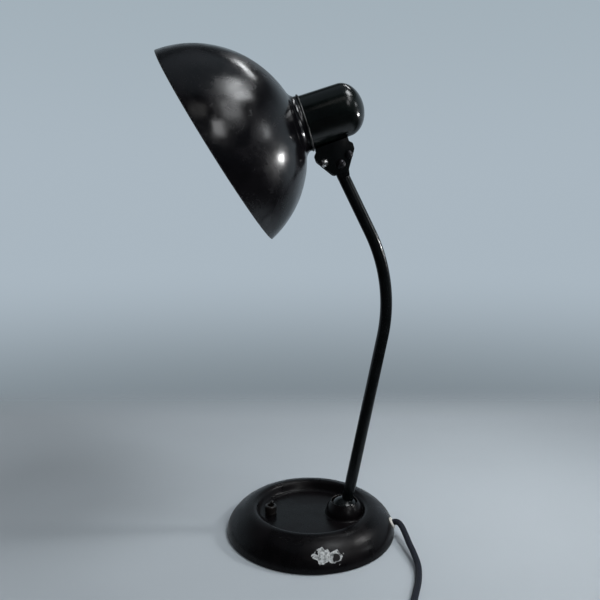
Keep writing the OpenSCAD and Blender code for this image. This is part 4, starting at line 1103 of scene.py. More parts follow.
@dataclass
class CordRun:
    """The braided mains cord: from the foot, out of view, into a tied coil, and on to its plug."""

    diameter: float = 6.0
    length: float = 1800.0
    route: tuple[tuple[float, float, float], ...] = (
        (84.8, -9.7, 10.1), (86.9, -9.9, 11.2), (89.2, -11.3, 12), (91.5, -15, 12.2), (93, -21, 11.8),
        (94, -28, 11), (95, -37, 9.8), (96, -47, 8.3), (97.5, -58, 6.8), (98.5, -69, 5.4), (98.5, -80, 4.2),
        (96.5, -92, 3.3), (93.5, -104, 3), (89.5, -116, 3), (85.5, -128, 3), (82, -140, 3), (79.5, -152, 3),
        (78.2, -162, 3), (77.9, -172, 3), (77.7, -181, 3))
    tail: tuple[tuple[float, float, float], ...] = (
        (-3, -190, 15), (-9, -182.8, 13.6), (-17.2, -178.1, 11.2), (-25, -176.6, 8.8), (-31.5, -176.9, 7.2),
        (-35.6, -178.1, 7))
    sides: int = 20
    path_step: float = 1.6
    yarns: int = 10
    yarn_pitch: float = 1.9
    coil_at: tuple[float, float] = (38.6, -192.0)
    coil_r: float = 39.0
    coil_middle: float = 33.0
    step_over: float = 0.2
    coil_start: float = 5.9
    coil_turns: float = 7.489
    tie_at: float = 200.0
    bundle: float = 18.0
    tie_w: float = 4.0
    tie_t: float = 0.9
    plug_w: float = 35.0
    plug_t: float = 14.0
    plug_len: float = 34.0
    boot_len: float = 16.0
    boot_r: tuple[float, float] = (3.8, 6.0)
    rib_pitch: float = 3.2
    pin_gap: float = 18.6

    def path(self) -> Array:
        """The cord's whole centre line."""
        points = np.concatenate([np.array(self.route), self.winding(), np.array(self.tail)])
        return curve_through(points, self.path_step)

    def winding(self) -> Array:
        """The coil: three rings of turns from the outside in, three from the inside out, and one on top.

        A place on it is coil_at + r (cos a, sin a) at height z, where the angle a falls by a full turn for
        each turn, and r and z change by one diameter within step_over of a turn.

        Returns:
            Its points, 24 to a turn.
        """
        t = np.arange(0, self.coil_turns, 1 / 24)
        d, over = self.diameter, self.step_over
        r = np.full(len(t), self.coil_r)
        z = np.full(len(t), d / 2)
        for start, dr in ((0.8, -d), (1.8, -d), (3.8, d), (4.8, d), (5.80, -d), (6.60, d)):
            r += dr * smooth_step(t, start, start + over)
        for start in (2.8, 5.62):
            z += d * smooth_step(t, start, start + over)
        a = np.radians(self.coil_start) - 2 * np.pi * t
        return np.stack([self.coil_at[0] + r * np.cos(a), self.coil_at[1] + r * np.sin(a), z], -1)

    def build(self, shop: Workshop) -> None:
        path = self.path()
        drawn = float(np.linalg.norm(np.diff(path, axis=0), axis=1).sum())
        shell = tube(path, self.diameter / 2, self.sides, weave=(self.yarns, drawn / self.yarn_pitch))
        cord = shop.piece("mains_cord", shell, Body.FOOT, Slot.BRAID, ("cord", "cord_coil", "cord_tail"))
        tie = shop.piece("coil_tie", self.tie(), Body.FOOT, Slot.TIE, ("cord_tie",))
        body = shop.piece("plug_moulding", self.plug(), Body.FOOT, Slot.PLUG, ("plug_body",))
        pins = shop.piece("plug_contacts", self.pins(), Body.FOOT, Slot.PINS, ("plug_pins",))

    def tie(self) -> Shell:
        """A strap round the bundle: a rounded loop in x and z, as wide as the strap along y."""
        half, top, thin = self.bundle / 2 + 0.1, self.bundle + 0.05, self.tie_t
        inner = rounded([(-half, 0.45, 2.6), (half, 0.45, 2.6), (half, top, 2.6), (-half, top, 2.6)], 8)
        out = thin * np.ones((len(inner), 1))
        out[inner[:, 1] < 1.2] = 0.4
        along = np.roll(inner, -1, 0) - np.roll(inner, 1, 0)
        way = np.stack([along[:, 1], -along[:, 0]], -1) / np.linalg.norm(along, axis=1, keepdims=True)
        outer = inner + way * out
        rows = []
        for line, y in ((inner, -1), (outer, -1), (outer, -0.8), (outer, 0.8), (outer, 1), (inner, 1)):
            rows.append(np.stack([line[:, 0], np.full(len(line), y * self.tie_w / 2), line[:, 1]], -1))
        shell = loft(np.stack(rows), ring_rows=True)
        place = shift(*self.coil_at) @ turn("z", self.tie_at) @ shift(self.coil_middle)
        return shell.flipped().placed(place)

    def plug(self) -> Shell:
        """The plug: a flat moulding with a waisted grip and rounded edges, and a ribbed boot."""
        w = self.plug_w / 2
        outline = rounded([(0, -6, 3), (9, -w, 7), (self.plug_len, -w, 3), (self.plug_len, w, 3), (9, w, 7),
                           (0, 6, 3)], 8)
        flat = plate(outline, self.plug_t, 2.4, 7).placed(shift(self.boot_len, 0, -self.plug_t / 2))
        x = np.linspace(0, self.boot_len + 1, 70)
        thin, thick = self.boot_r
        swell = thin + (thick - thin) * x / (self.boot_len + 1)
        wave = np.cos(2 * np.pi * (x - 1.4) / self.rib_pitch)
        ribs = 0.5 * smooth_step(wave, -0.2, 0.5) * (x > 1.0) * (x < 14.6)
        r = np.concatenate([[3.05], swell - 0.5 + ribs, [0.0]])
        z = np.concatenate([[0.0], x, [self.boot_len + 1]])
        boot = lathe(np.stack([np.concatenate([r, [0.0]]), np.concatenate([z, [0.0]])], -1), 40)
        return joined([flat, boot.placed(turn("y", 90))]).placed(PLACES.plug())

    def pins(self) -> Shell:
        """Two round pins with rounded tips."""
        tip = arc((0.6, 17.6), 1.4, 0, 90, 6)
        outline = np.concatenate([[[0, -8], [1.5, -8], [1.5, 0.3], [2, 0.3]], tip, [[0, 19]]])
        pin = lathe(outline, 36)
        far = self.boot_len + self.plug_len
        pair = [pin.placed(shift(far, y * self.pin_gap / 2, 0) @ turn("y", 90)) for y in (-1, 1)]
        return joined(pair).placed(PLACES.plug())


@dataclass
class Foot:
    """The heavy cast foot: rounded rim, sunken floor, domed socket, cover plate, felt and wiring."""

    base_r: float = 87.5
    base_h: float = 26.0
    floor_h: float = PLACES.floor_h
    wall: float = 4.5
    skirt_z: float = 1.0
    side_a: float = 56.2
    side_b: float = 31.4
    side_end: float = 46.0
    bowl_r: float = 5.5
    bowl_slope: float = 65.0
    dome_r: float = 20.0
    dome_wall: float = 2.0
    mouth_r: float = 13.5
    fillet: float = 2.0
    columns: int = 288
    boss_r: float = 4.5
    cover_bosses: tuple[int, ...] = (90, 210, 330)
    cover_boss_inset: float = 16.0
    plate_bosses: tuple[int, ...] = (60, 180, 300)
    plate_boss_at: float = 27.0
    clamp_block_at: float = 64.5
    clamp_block_z: float = 11.2
    rubbed_mm: float = 1.1
    rubbed_most: float = 0.62

    def __post_init__(self) -> None:
        """Works out where the rim's arcs meet."""
        e, b = math.radians(self.side_end), math.radians(self.bowl_slope)
        self.side_r0 = self.base_r - self.side_a
        self.side_slope = math.degrees(math.atan2(self.side_b * math.cos(e), self.side_a * math.sin(e)))
        s = math.radians(self.side_slope)
        self.crest_r = (self.base_h - self.skirt_z - self.side_b * math.sin(e)) / (1 - math.cos(s))
        self.crest_x = self.side_r0 + self.side_a * math.cos(e) - self.crest_r * math.sin(s)
        drop = self.base_h - self.floor_h - 2 * self.bowl_r * (1 - math.cos(b))
        self.floor_r = self.crest_x - 2 * self.bowl_r * math.sin(b) - drop / math.tan(b)

    def bowl(self, r: Array, inset: float) -> Array:
        """Height of the sunken floor and its wall at radius r, up to the crest.

        The floor is level up to floor_r, then climbs a concave arc, a straight slope and a convex arc. The
        inside skin is the same line moved down square to itself by inset.

        Args:
            r: radii.
            inset: how far inside the outer skin.

        Returns:
            Heights.
        """
        low_r, top_r = self.bowl_r + inset, max(self.bowl_r - inset, 1.0)
        b = math.radians(self.bowl_slope)
        low = (self.floor_r, self.floor_h + self.bowl_r)
        top = (self.crest_x, self.base_h - self.bowl_r)
        low_end = (low[0] + low_r * math.sin(b), low[1] - low_r * math.cos(b))
        top_end = (top[0] - top_r * math.sin(b), top[1] + top_r * math.cos(b))
        concave = low[1] - np.sqrt(np.maximum(low_r**2 - np.clip(r - low[0], 0, low_r) ** 2, 0))
        convex = top[1] + np.sqrt(np.maximum(top_r**2 - np.clip(top[0] - r, 0, top_r) ** 2, 0))
        slope = low_end[1] + (r - low_end[0]) * (top_end[1] - low_end[1]) / max(top_end[0] - low_end[0], 0.01)
        return np.where(r <= low_end[0], concave, np.where(r >= top_end[0], convex, slope))

    def rows_about(self, outline: Array) -> Array:
        """Rows (r, z) turned about the foot's middle."""
        return turned_rows(outline, around(self.columns))

    def rows_dome(self, outline: Array) -> Array:
        """Rows (distance, z) turned about the dome's middle."""
        return self.rows_about(outline) + np.array([PLACES.joint_x, 0, 0])

    def patch(self, ring: float, inset: float, low: float, steps: int) -> Array:
        """Rows from a circle about the dome out to the crest's circle, lying on the floor and its wall.

        A point goes straight from the dome's circle to the crest's circle at the same angle, by the share
        t = 1 - (1 - s)^1.8, and its height is the bowl's height there.

        Args:
            ring: radius of the circle about the dome.
            inset: how far inside the outer skin.
            low: the greatest height allowed close to the dome.
            steps: number of rows.

        Returns:
            The rows, first at the dome.
        """
        a = around(self.columns)
        t = (1 - (1 - np.linspace(0, 1, steps)) ** 1.8)[:, None]
        x = (PLACES.joint_x + ring * np.cos(a)) * (1 - t) + self.crest_x * np.cos(a) * t
        y = ring * np.sin(a) * (1 - t) + self.crest_x * np.sin(a) * t
        z = self.bowl(np.hypot(x, y), inset)
        return np.stack([x, y, np.where(t < 0.02, np.minimum(z, low), z)], -1)

    def side(self, inset: float, steps: int) -> Array:
        """The rim from its crest down the outside as (r, z): an arc, then a quarter of an ellipse."""
        s = np.radians(np.linspace(90, 90 - self.side_slope, steps // 3))
        top_r = self.crest_r - inset
        crest_z = self.base_h - self.crest_r
        crest = np.stack([self.crest_x + top_r * np.cos(s), crest_z + top_r * np.sin(s)], -1)
        e = np.radians(np.linspace(self.side_end - 1, 0, steps))
        out = np.stack([np.cos(e) / self.side_a, np.sin(e) / self.side_b], -1)
        out /= np.linalg.norm(out, axis=1, keepdims=True)
        side = np.stack([self.side_r0 + self.side_a * np.cos(e), self.skirt_z + self.side_b * np.sin(e)], -1)
        return np.concatenate([crest, side - inset * out])

    def casting(self) -> Shell:
        """The casting's skin as one closed ring of rows, from the socket's mouth out, under and back."""
        z0, big, small = PLACES.joint_z, self.dome_r, self.dome_r - self.dome_wall
        lip = math.degrees(math.acos(self.mouth_r / big))
        ball = arc((0, z0), big, lip - 1.4, 7.2, 30)
        edge = arc((self.mouth_r + 0.45, z0 + big * math.sin(math.radians(lip)) - 0.55), 0.5, 175, 60, 5)
        foot = arc((big + self.fillet - 0.1, self.floor_h + self.fillet), self.fillet, 182, 270, 8)
        outline = np.concatenate([edge, ball, foot])
        dome = self.rows_dome(outline)
        wall = self.bowl(np.hypot(dome[..., 0], dome[..., 1]), 0.0)
        wall = wall - 3 * (1 - np.clip((wall - self.floor_h) / 1.2, 0, 1))
        gap = np.clip(1 - np.abs(dome[..., 2] - wall) / 2.0, 0, None)
        dome[..., 2] = np.maximum(dome[..., 2], wall) + 0.5 * gap**2
        dome[-1, :, 2] = np.maximum(self.floor_h, self.bowl(np.hypot(dome[-1, :, 0], dome[-1, :, 1]), 0.0))
        top = self.patch(big + self.fillet - 0.1, 0.0, 99.0, 84)
        rim = self.side(0.0, 40)
        cavity_r = self.base_r - 4.2
        inner = self.side(self.wall, 24)[::-1]
        inner = inner[inner[:, 1] > 3.4]
        inner[:, 0] = np.minimum(inner[:, 0], cavity_r)
        skirt = [[self.base_r - 0.3, self.skirt_z], [cavity_r, self.skirt_z], [cavity_r, 2.7]]
        lower = np.concatenate([skirt, inner])
        under = self.patch(small, self.wall, z0 - 0.1, 40)[::-1]
        hollow = arc((0, z0), small, 4, 41.2, 14)
        inside = np.concatenate([[[small, z0]], hollow, [[self.mouth_r, z0 + 11.95]]])
        rows = np.concatenate([dome, top[1:], self.rows_about(rim)[1:], self.rows_about(lower), under[1:],
                               self.rows_dome(inside)])
        near = len(edge) + 6
        far = np.full(rows.shape[:2], 99.0)
        far[:near] = np.abs(outline[:near, 0] - self.mouth_r)[:, None]
        rubbed = np.exp(-((far / self.rubbed_mm) ** 2)) * self.rubbed_most
        return loft(rows, ring_rows=True, wear=rubbed).flipped()

    def bosses(self) -> Shell:
        """The bosses for the screws and the block that the cord is clamped to, inside the casting."""
        made: list[Shell] = []
        r = self.boss_r
        for angle in self.cover_bosses:
            boss = lathe(np.array([[0, 2.75], [r, 2.75], [r, 14.0], [0, 14.0]]), 40)
            made.append(boss.placed(turn("z", angle) @ shift(self.base_r - self.cover_boss_inset)))
        for angle in self.plate_bosses:
            boss = lathe(np.array([[0, 7.9], [r, 7.9], [r, 13.0], [0, 13.0]]), 40)
            made.append(boss.placed(shift(PLACES.joint_x) @ turn("z", angle) @ shift(self.plate_boss_at)))
        block = plate(rounded([(-5, -12, 1), (5, -12, 1), (5, 12, 1), (-5, 12, 1)], 3), 8.8, 0.4)
        block_at = shift(self.clamp_block_at, 0, self.clamp_block_z)
        made.append(block.placed(turn("z", PLACES.outlet_angle) @ block_at))
        return joined(made)

    def bush(self) -> Shell:
        """The outlet bush: a turned flange with a rolled edge and a flared hole for the cord."""
        outline = np.concatenate([
            [[3.05, -7], [4.18, -7], [4.18, -0.6], [5.75, -0.6]], arc((4.95, 0.7), 0.8, 0, 90, 8),
            arc((3.9, 0.65), 0.85, 90, 180, 8)])
        return lathe(outline, 64).placed(PLACES.outlet())

    def build(self, shop: Workshop) -> None:
        """Makes the casting and its bush, and dresses what lies under it."""
        shell = joined([self.casting(), self.bosses()])
        shop.piece("foot_casting", shell, Body.FOOT, Slot.FOOT_PAINT, ("base_casting",), crease=50)
        shop.piece("outlet_bush", self.bush(), Body.FOOT, Slot.BUSH, ("cord_bush",))
        shop.dress(Slot.ZINC, "base_cover", "cover_screws", "cord_clamp", "cord_clamp_screws",
                   "terminal_screws")
        shop.dress(Slot.FELT, "felt_pad")
        shop.dress(Slot.BRAID, "mains_tail")
        shop.dress(Slot.BUSH, "terminal_block")
        shop.dress(Slot.BRASS, "terminal_sleeves")
        shop.dress(Slot.SLEEVE, "switch_leads", "base_lead")


@dataclass
class FootJoint:
    """The parts that hold the arm's ball cap in the foot."""

    def build(self, shop: Workshop) -> None:
        """Dresses the plate, the ring and the spring."""
        shop.dress(Slot.ZINC, "socket_plate", "socket_screws")
        shop.dress(Slot.FIBRE, "pressure_ring")
        shop.dress(Slot.SPRING, "pressure_spring")


@dataclass
class Switch:
    """The toggle switch: a round collar on the floor of the foot and a short lever."""

    collar_r: float = 6.1
    collar_h: float = 9.0
    bore_r: float = 3.6
    neck_r: float = 4.65
    tip_r: float = 2.0
    tip_z: float = 8.5

    def collar(self) -> Shell:
        """The collar: a cap with a rolled shoulder, a groove at its foot and a funnel in its top."""
        h, r = self.collar_h, self.collar_r
        outline = np.concatenate([
            [[self.neck_r, 0], [r - 0.25, 0], [r, 0.25], [r, 1.5], [r - 0.35, 1.7], [r - 0.35, 2.1],
             [r, 2.3]],
            arc((r - 1.5, h - 1.5), 1.5, 0, 90, 10), arc((self.bore_r + 0.5, h - 0.5), 0.5, 90, 180, 5),
            [[self.bore_r, h - 1.3], [self.neck_r, h - 1.3]]])
        return lathe(outline, 96).placed(PLACES.switch())

    def lever(self) -> Shell:
        """The lever: a round ball on its pivot, a waisted stem and a knob."""
        outline = np.concatenate([
            arc((0, -7.5), 1.7, -90, 55, 8), [[1.2, -4.6]], arc((0, 0), 2.4, -50, 50, 10), [[1.35, 4.0]],
            arc((0, self.tip_z), self.tip_r, -42, 90, 12)])
        return lathe(outline, 40).placed(PLACES.lever())

    def build(self, shop: Workshop) -> None:
        """Makes the collar and the lever, and dresses the parts under the floor."""
        shop.piece("toggle_collar", self.collar(), Body.FOOT, Slot.BAKELITE, ("switch_collar",))
        shop.piece("toggle_lever", self.lever(), Body.LEVER, Slot.BAKELITE, ("switch_lever",))
        shop.dress(Slot.BAKELITE, "switch_body")
        shop.dress(Slot.ZINC, "switch_pin")
        shop.dress(Slot.BRASS, "switch_contacts")


@dataclass
class Arm:
    """The bent tube with its ball cap below and its forked eye above."""

    tube_r: float = 6.0
    bore_r: float = 4.5
    cap_r: float = 17.95
    cap_t: float = 1.6
    cap_edge: float = 83.0
    tube_gap: float = 14.5
    eye_r: float = 7.5
    fork_half: float = 3.95
    slot_half: float = 2.1
    fork_foot: float = 13.0
    sides: int = 64

    def line(self) -> Array:
        """The tube's centre line: straight, an arc, straight again."""
        stem, neck = PLACES.stem(), PLACES.neck()
        low = stem[:3, 3] + stem[:3, 2] * np.linspace(self.cap_r - self.cap_t, PLACES.stem_len, 60)[:, None]
        a = np.radians(np.linspace(0, PLACES.bend_angle, 61)[1:-1])
        r = PLACES.bend_r
        bend = np.stack([r * (np.cos(a) - 1), 0 * a, PLACES.stem_len + r * np.sin(a)], -1)
        bend = bend @ stem[:3, :3].T + stem[:3, 3]
        high = neck[:3, 3] + neck[:3, 2] * np.linspace(0, PLACES.neck_len - self.tube_gap, 24)[:, None]
        return np.concatenate([low, bend, high])

    def pipe(self) -> Shell:
        """The tube with its bore, as one closed ring of rows."""
        line = self.line()
        n = self.sides
        outer, inner = (tube(line, r, n, (0, 1, 0)).points.reshape(-1, n, 3)
                        for r in (self.tube_r, self.bore_r))
        return loft(np.concatenate([outer, inner[::-1]]), ring_rows=True)

    def cap(self) -> Shell:
        """The ball cap: a thin spherical shell round the tube's foot, open below, with a square rim."""
        big, small = self.cap_r, self.cap_r - self.cap_t
        low = 90 - self.cap_edge
        hole = math.degrees(math.acos(self.tube_r / big))
        hole_in = math.degrees(math.acos(self.tube_r / small))
        outer, inner = arc((0, 0), big, low + 1, hole, 40), arc((0, 0), small, hole_in, low + 1, 30)
        return lathe(np.concatenate([outer, inner])).placed(PLACES.stem())

    def fork(self) -> Shell:
        """The forked eye: two round-ended lugs on a block, a collar and a spigot in the tube."""
        side, foot = PLACES.pivot_side, self.fork_foot
        outline = np.concatenate([
            [[-side - 5.9, -foot], [-side + 5.9, -foot]], arc((0, 0), self.eye_r, -12, 184, 30)])
        lug = plate(outline, self.fork_half - self.slot_half, 0.4).placed(turn("x", 90))
        lugs = [lug.placed(shift(y=self.fork_half)), lug.placed(shift(y=-self.slot_half))]
        y = self.fork_half - 0.1
        block = plate(rounded([(-side - 5.8, -y, 0.6), (-side + 5.7, -y, 0.6), (-side + 5.7, y, 0.6),
                               (-side - 5.8, y, 0.6)], 3), 1.8, 0.2).placed(shift(z=-foot - 0.2))
        r = self.tube_r
        turned = lathe(np.concatenate([
            [[0, -26.5], [4.45, -26.5], [4.45, -14.5], [r - 0.3, -14.5]],
            arc((r - 0.5, -13.6), 0.55, 0, 90, 5), [[0, -13.05]]]), self.sides)
        return joined(lugs + [block, turned.placed(shift(-side))]).placed(PLACES.fork())

    def build(self, shop: Workshop) -> None:
        """Makes the tube, the ball cap and the fork, and dresses the lead."""
        shop.piece("arm_pipe", self.pipe(), Body.ARM, Slot.BLACK_PAINT, ("arm_tube",))
        shop.piece("ball_cap", self.cap(), Body.ARM, Slot.BLACK_PAINT, ("arm_cap",))
        shop.piece("forked_eye", self.fork(), Body.ARM, Slot.BLACK_PAINT, ("arm_fork",))
        shop.dress(Slot.SLEEVE, "arm_lead")


@dataclass
class HeadJoint:
    """The pressed bracket on the housing, and the screws that clamp the arm's eye in it."""

    gap: float = 9.2
    sheet: float = 1.5
    half_w: float = 19.5
    foot_w: float = 7.5
    foot_z: float = -8.4
    knee: float = 9.8
    neck_w: float = 16.6
    web_z: float = 22.5
    lean_out: float = 0.3
    lean_over: float = 21.5
    housing_r: float = 25.6
    screw_at: float = 12.4
    screw_z: float = 6.1
    pivot_size: tuple[float, float, float, float] = (4.8, 3.2, 2.5, 17.2)
    cheek_size: tuple[float, float, float, float] = (4.1, 2.9, 2.0, 16.4)
    thread_pitch: float = 0.7

    def cheek(self) -> Shell:
        """One cheek, flat in x and z, with rounded corners; its y runs from 0 to minus the sheet."""
        w, n, k, top = self.half_w, self.neck_w, self.knee, self.web_z + 1.0
        outline = rounded([
            (self.foot_w, self.foot_z, 5), (w, k, 5), (w, k + 5.7, 2), (n, k + 8.6, 1.5), (n, top, 0.3),
            (-n, top, 0.3), (-n, k + 8.6, 1.5), (-w, k + 5.7, 2), (-w, k, 5),
            (-self.foot_w, self.foot_z, 5)], 8)
        return plate(outline, self.sheet, 0.45, 4).placed(turn("x", 90))

    def web(self) -> Shell:
        """The web between the cheeks: a strip of a cylinder that hugs the housing.

        Each row is a slice of the strip, outer arc one way and inner arc back, so the rows run along the
        housing. A slice lies lean_out further out for each lean_over that it is nearer the mouth, because
        the housing tapers.

        Returns:
            The shell, in the housing's frame.
        """
        reach = self.gap / 2 + self.sheet
        middle = self.web_z
        z = np.linspace(middle - self.neck_w, middle + self.neck_w, 24)
        outer, inner = self.housing_r + self.sheet, self.housing_r - 0.3
        a = np.linspace(-math.asin(reach / outer), math.asin(reach / outer), 14)
        b = np.linspace(math.asin(reach / inner), -math.asin(reach / inner), 14)
        x = np.concatenate([outer * np.cos(a), inner * np.cos(b)])
        y = np.concatenate([outer * np.sin(a), inner * np.sin(b)])
        lean = self.lean_out * (middle - z) / self.lean_over
        rows = np.stack([x[None, :] + lean[:, None], np.broadcast_to(y, (len(z), len(y))),
                         np.broadcast_to(z[:, None], (len(z), len(y)))], -1)
        return loft(rows, capped=True)

    def bracket(self) -> Shell:
        """Both cheeks and the web."""
        near = self.gap / 2
        nipple = PLACES.nipple()
        cheeks = [self.cheek().placed(nipple @ shift(y=y)) for y in (near + self.sheet, -near)]
        return joined(cheeks + [self.web().placed(PLACES.housing_axis())])

    def screw(self, head_r: float, head_h: float, shank_r: float, length: float, slot_turn: float) -> Shell:
        """A slotted round-head screw, its head on z = 0 and its threaded shank below.

        The shank's radius rises and falls once in each pitch, over its last part.

        Args:
            head_r: the head's radius.
            head_h: the head's height.
            shank_r: the shank's radius.
            length: the shank's length.
            slot_turn: the slot's direction in degrees.

        Returns:
            The shell.
        """
        head = slotted_dome(head_r, head_h, head_r * 0.28, head_h * 0.48).placed(turn("z", slot_turn))
        z = np.linspace(-length + 0.4, -length + 6, 65)
        ridge = shank_r - 0.2 + 0.2 * np.cos(2 * np.pi * z / self.thread_pitch)
        outline = np.concatenate([
            [[0, -length], [shank_r - 0.6, -length]], np.stack([ridge, z], -1), [[shank_r, 0.02], [0, 0.02]]])
        return joined([head, lathe(outline, 40)])

    def on_cheek(self, x: float, z: float) -> Array:
        """A place on the near cheek's face, its z out of the face and towards -Y."""
        return PLACES.head() @ shift(x, -self.gap / 2 - self.sheet, z) @ turn("x", 90)

    def build(self, shop: Workshop) -> None:
        """Makes the bracket and the screws, and dresses the small parts between the cheeks."""
        shop.piece("joint_bracket", self.bracket(), Body.HEAD, Slot.BLACK_PAINT, ("head_bracket",))
        pivot = self.screw(*self.pivot_size, 24).placed(self.on_cheek(0, 0))
        shop.piece("pivot_bolt", pivot, Body.HEAD, Slot.BLACK_STEEL, ("pivot_screw",))
        side = PLACES.nipple_x
        bright = self.screw(*self.cheek_size, 118).placed(self.on_cheek(side - self.screw_at, self.screw_z))
        shop.piece("cheek_bolt_bright", bright, Body.HEAD, Slot.BRIGHT_STEEL, ("cheek_screw_bright",))
        black = self.screw(*self.cheek_size, 66).placed(self.on_cheek(side + self.screw_at, self.screw_z))
        shop.piece("cheek_bolt_black", black, Body.HEAD, Slot.BLACK_STEEL, ("cheek_screw_black",))
        shop.dress(Slot.BLACK_STEEL, "pivot_nut", "cheek_nuts", "cheek_spacers")
        shop.dress(Slot.FIBRE, "pivot_washers")
        shop.dress(Slot.BRASS, "nipple", "nipple_nut")
        shop.dress(Slot.ZINC, "saddle_washer")
        shop.dress(Slot.SLEEVE, "head_lead")


@dataclass
class Head:
    """The housing, the shade, the lampholder and the bulb, all turned about the housing's axis."""

    housing_r: float = 26.0
    housing_len: float = 63.0
    sheet: float = 1.0
    taper: float = 0.8
    taper_over: float = 44.0
    dome_deep: float = 19.5
    shade_r: float = 104.2
    shade_t: float = 0.8
    rim_offset: float = 19.7
    rim_slant: float = 12.8
    flare_start: float = 18.5
    flare_end: float = 62.0
    neck_end: float = 3.5
    mouth_z: float = 1.0
    bead_r: float = 0.9
    thread_clear_r: float = 20.4
    sides: int = 256
    rings: int = 72
    lip_rows: int = 7
    bulb_r: float = 27.5
    bulb_z: float = -50.5
    bulb_neck_r: float = 12.8
    bulb_neck_z: float = -10.0
    bulb_end_z: float = -2.6
    glass: float = 0.8
    cap_r: float = 12.75
    thread_rise: float = 0.35
    thread_pitch: float = 3.6

    def __post_init__(self) -> None:
        """Works out the shade's sphere and neck."""
        s, e = math.radians(self.flare_start), math.radians(self.flare_end)
        self.neck_r = self.housing_r + self.shade_t + 0.05
        self.flare_r = (self.shade_r * math.sin(s) - self.neck_r) / (math.sin(e) - math.sin(s))
        rise = self.flare_r * (math.cos(s) - math.cos(e))
        self.sphere_z = self.mouth_z - rise - self.shade_r * math.cos(s)

    def housing_skin(self, inset: float) -> Array:
        """The housing's outline from its mouth to its end: a straight taper, then a quarter of an ellipse."""
        waist = self.housing_r - self.taper
        start = self.housing_len - self.dome_deep
        turned = np.radians(np.linspace(0, 90, 41))
        wide, deep = waist - inset, self.dome_deep - inset
        end = np.stack([wide * np.cos(turned), start + deep * np.sin(turned)], -1)
        end[-1, 0] = 0
        straight = np.linspace([self.housing_r - inset, self.mouth_z], end[0], 12)[:-1]
        return np.concatenate([straight, end])

    def housing(self) -> Shell:
        """The housing's sheet."""
        outline = np.concatenate([self.housing_skin(0.0), self.housing_skin(self.sheet)[::-1]])
        return lathe(outline, 192).placed(PLACES.housing_axis())

    def bead(self) -> Shell:
        """The rolled bead at the end of the shade's neck."""
        z = self.neck_end
        r = self.housing_r - self.taper * (z - self.mouth_z) / self.taper_over + self.bead_r + 0.06
        ring = arc((r, z + self.bead_r), self.bead_r, -180, 165, 23)
        return lathe(ring, 192).placed(PLACES.housing_axis())

    def rim_angle(self, radius: float, turned: Array) -> Array:
        """How far from the pole the oblique cut meets a sphere, in radians, all round the axis.

        With n the cut plane's direction and d its distance from the centre, the point at angle b from the
        pole meets the plane where cos(b) n_z + sin(b) n_x cos(phi) = d / R.

        Args:
            radius: the sphere's radius R.
            turned: the angles phi about the axis.

        Returns:
            The angle b for each phi.
        """
        s = math.radians(self.rim_slant)
        a, b = math.cos(s), -math.sin(s) * np.cos(turned)
        return np.arctan2(b, a) + np.arccos(self.rim_offset / radius / np.hypot(a, b))

    def shade(self) -> Shell:
        """The shade's sheet: black outside, white inside, with a rounded oblique rim and a short neck.

        Outside and inside are parts of two spheres about one centre, from the flare to the cut. The flare is
        an arc that turns over into the neck, and the flange closes the neck towards the lampholder.

        Returns:
            The shell, with paint 0 outside and 1 inside.
        """
        phi = around(self.sides)

        def sphere(radius: float, order: int) -> Array:
            """Rows on a sphere from the flare to the rim, or back with order -1."""
            start = math.radians(self.flare_start)
            end = self.rim_angle(radius, phi)
            b = start + (end - start) * np.linspace(0, 1, self.rings)[::order, None]
            return np.stack([radius * np.sin(b) * np.cos(phi), radius * np.sin(b) * np.sin(phi),
                             self.sphere_z + radius * np.cos(b)], -1)

        s = math.radians(self.flare_start)
        middle = (self.shade_r * math.sin(s) + self.flare_r * math.sin(s),
                  self.sphere_z + self.shade_r * math.cos(s) + self.flare_r * math.cos(s))
        first_a, last_a = 270 - self.flare_start, 270 - self.flare_end
        flare = arc(middle, self.flare_r, first_a, last_a, 14)[1:]
        under = arc(middle, self.flare_r + self.shade_t, last_a, first_a, 14)[:-1]
        n, t = self.neck_r, self.shade_t
        neck = np.array([[n, self.neck_end - 0.3], [n - 0.3, self.neck_end], [n - t, self.neck_end],
                         [n - t, self.mouth_z], [self.thread_clear_r, self.mouth_z],
                         [self.thread_clear_r, 0.0], [n - t - 1, 0.0]])
        outside, inside = sphere(self.shade_r, -1), sphere(self.shade_r - t, 1)
        edge = 0.5 * (outside[0] + inside[-1])
        way = outside[0] - inside[-1]
        down = np.cross(np.roll(edge, -1, 0) - np.roll(edge, 1, 0), way)
        down /= np.linalg.norm(down, axis=1, keepdims=True)
        lip = np.radians(np.linspace(180, 0, self.lip_rows)[1:-1])[:, None, None]
        round_lip = edge + way * 0.5 * np.cos(lip) + down * (t / 2) * np.sin(lip)
        rows = np.concatenate([outside, *(turned_rows(part, phi) for part in (flare, neck, under)), inside,
                               round_lip])
        rub = np.zeros(rows.shape[:2])
        rub[0], rub[1], rub[-len(round_lip):] = 0.72, 0.45, 0.85
        shell = loft(rows, ring_rows=True, wear=rub)
        row = np.arange(len(rows))[:, None] + np.zeros(self.sides, int)[None]
        first = len(outside) + len(flare) + len(neck) - 3
        paint = ((row >= first) & (row < len(rows) - len(round_lip) - 1)).astype(int).reshape(-1)
        return replace(shell, paint=[paint]).placed(PLACES.housing_axis())

    def bulb(self) -> Shell:
        """The glass: a sphere that runs into a neck, as a thin closed wall."""

        def skin(inset: float) -> Array:
            """The glass outline from its far pole to the neck's end."""
            r, n = self.bulb_r - inset, self.bulb_neck_r - inset
            ball = arc((0, self.bulb_z), r, -90, 40, 44)
            low = ball[-1]
            bend = np.array([n, low[1] + (low[0] - n) / math.tan(math.radians(50))])
            t = np.linspace(0, 1, 15)[1:, None]
            end = np.array([n, self.bulb_neck_z])
            waist = low * (1 - t) ** 2 + bend * 2 * t * (1 - t) + end * t**2
            return np.concatenate([ball, waist, [[n, self.bulb_end_z]]])

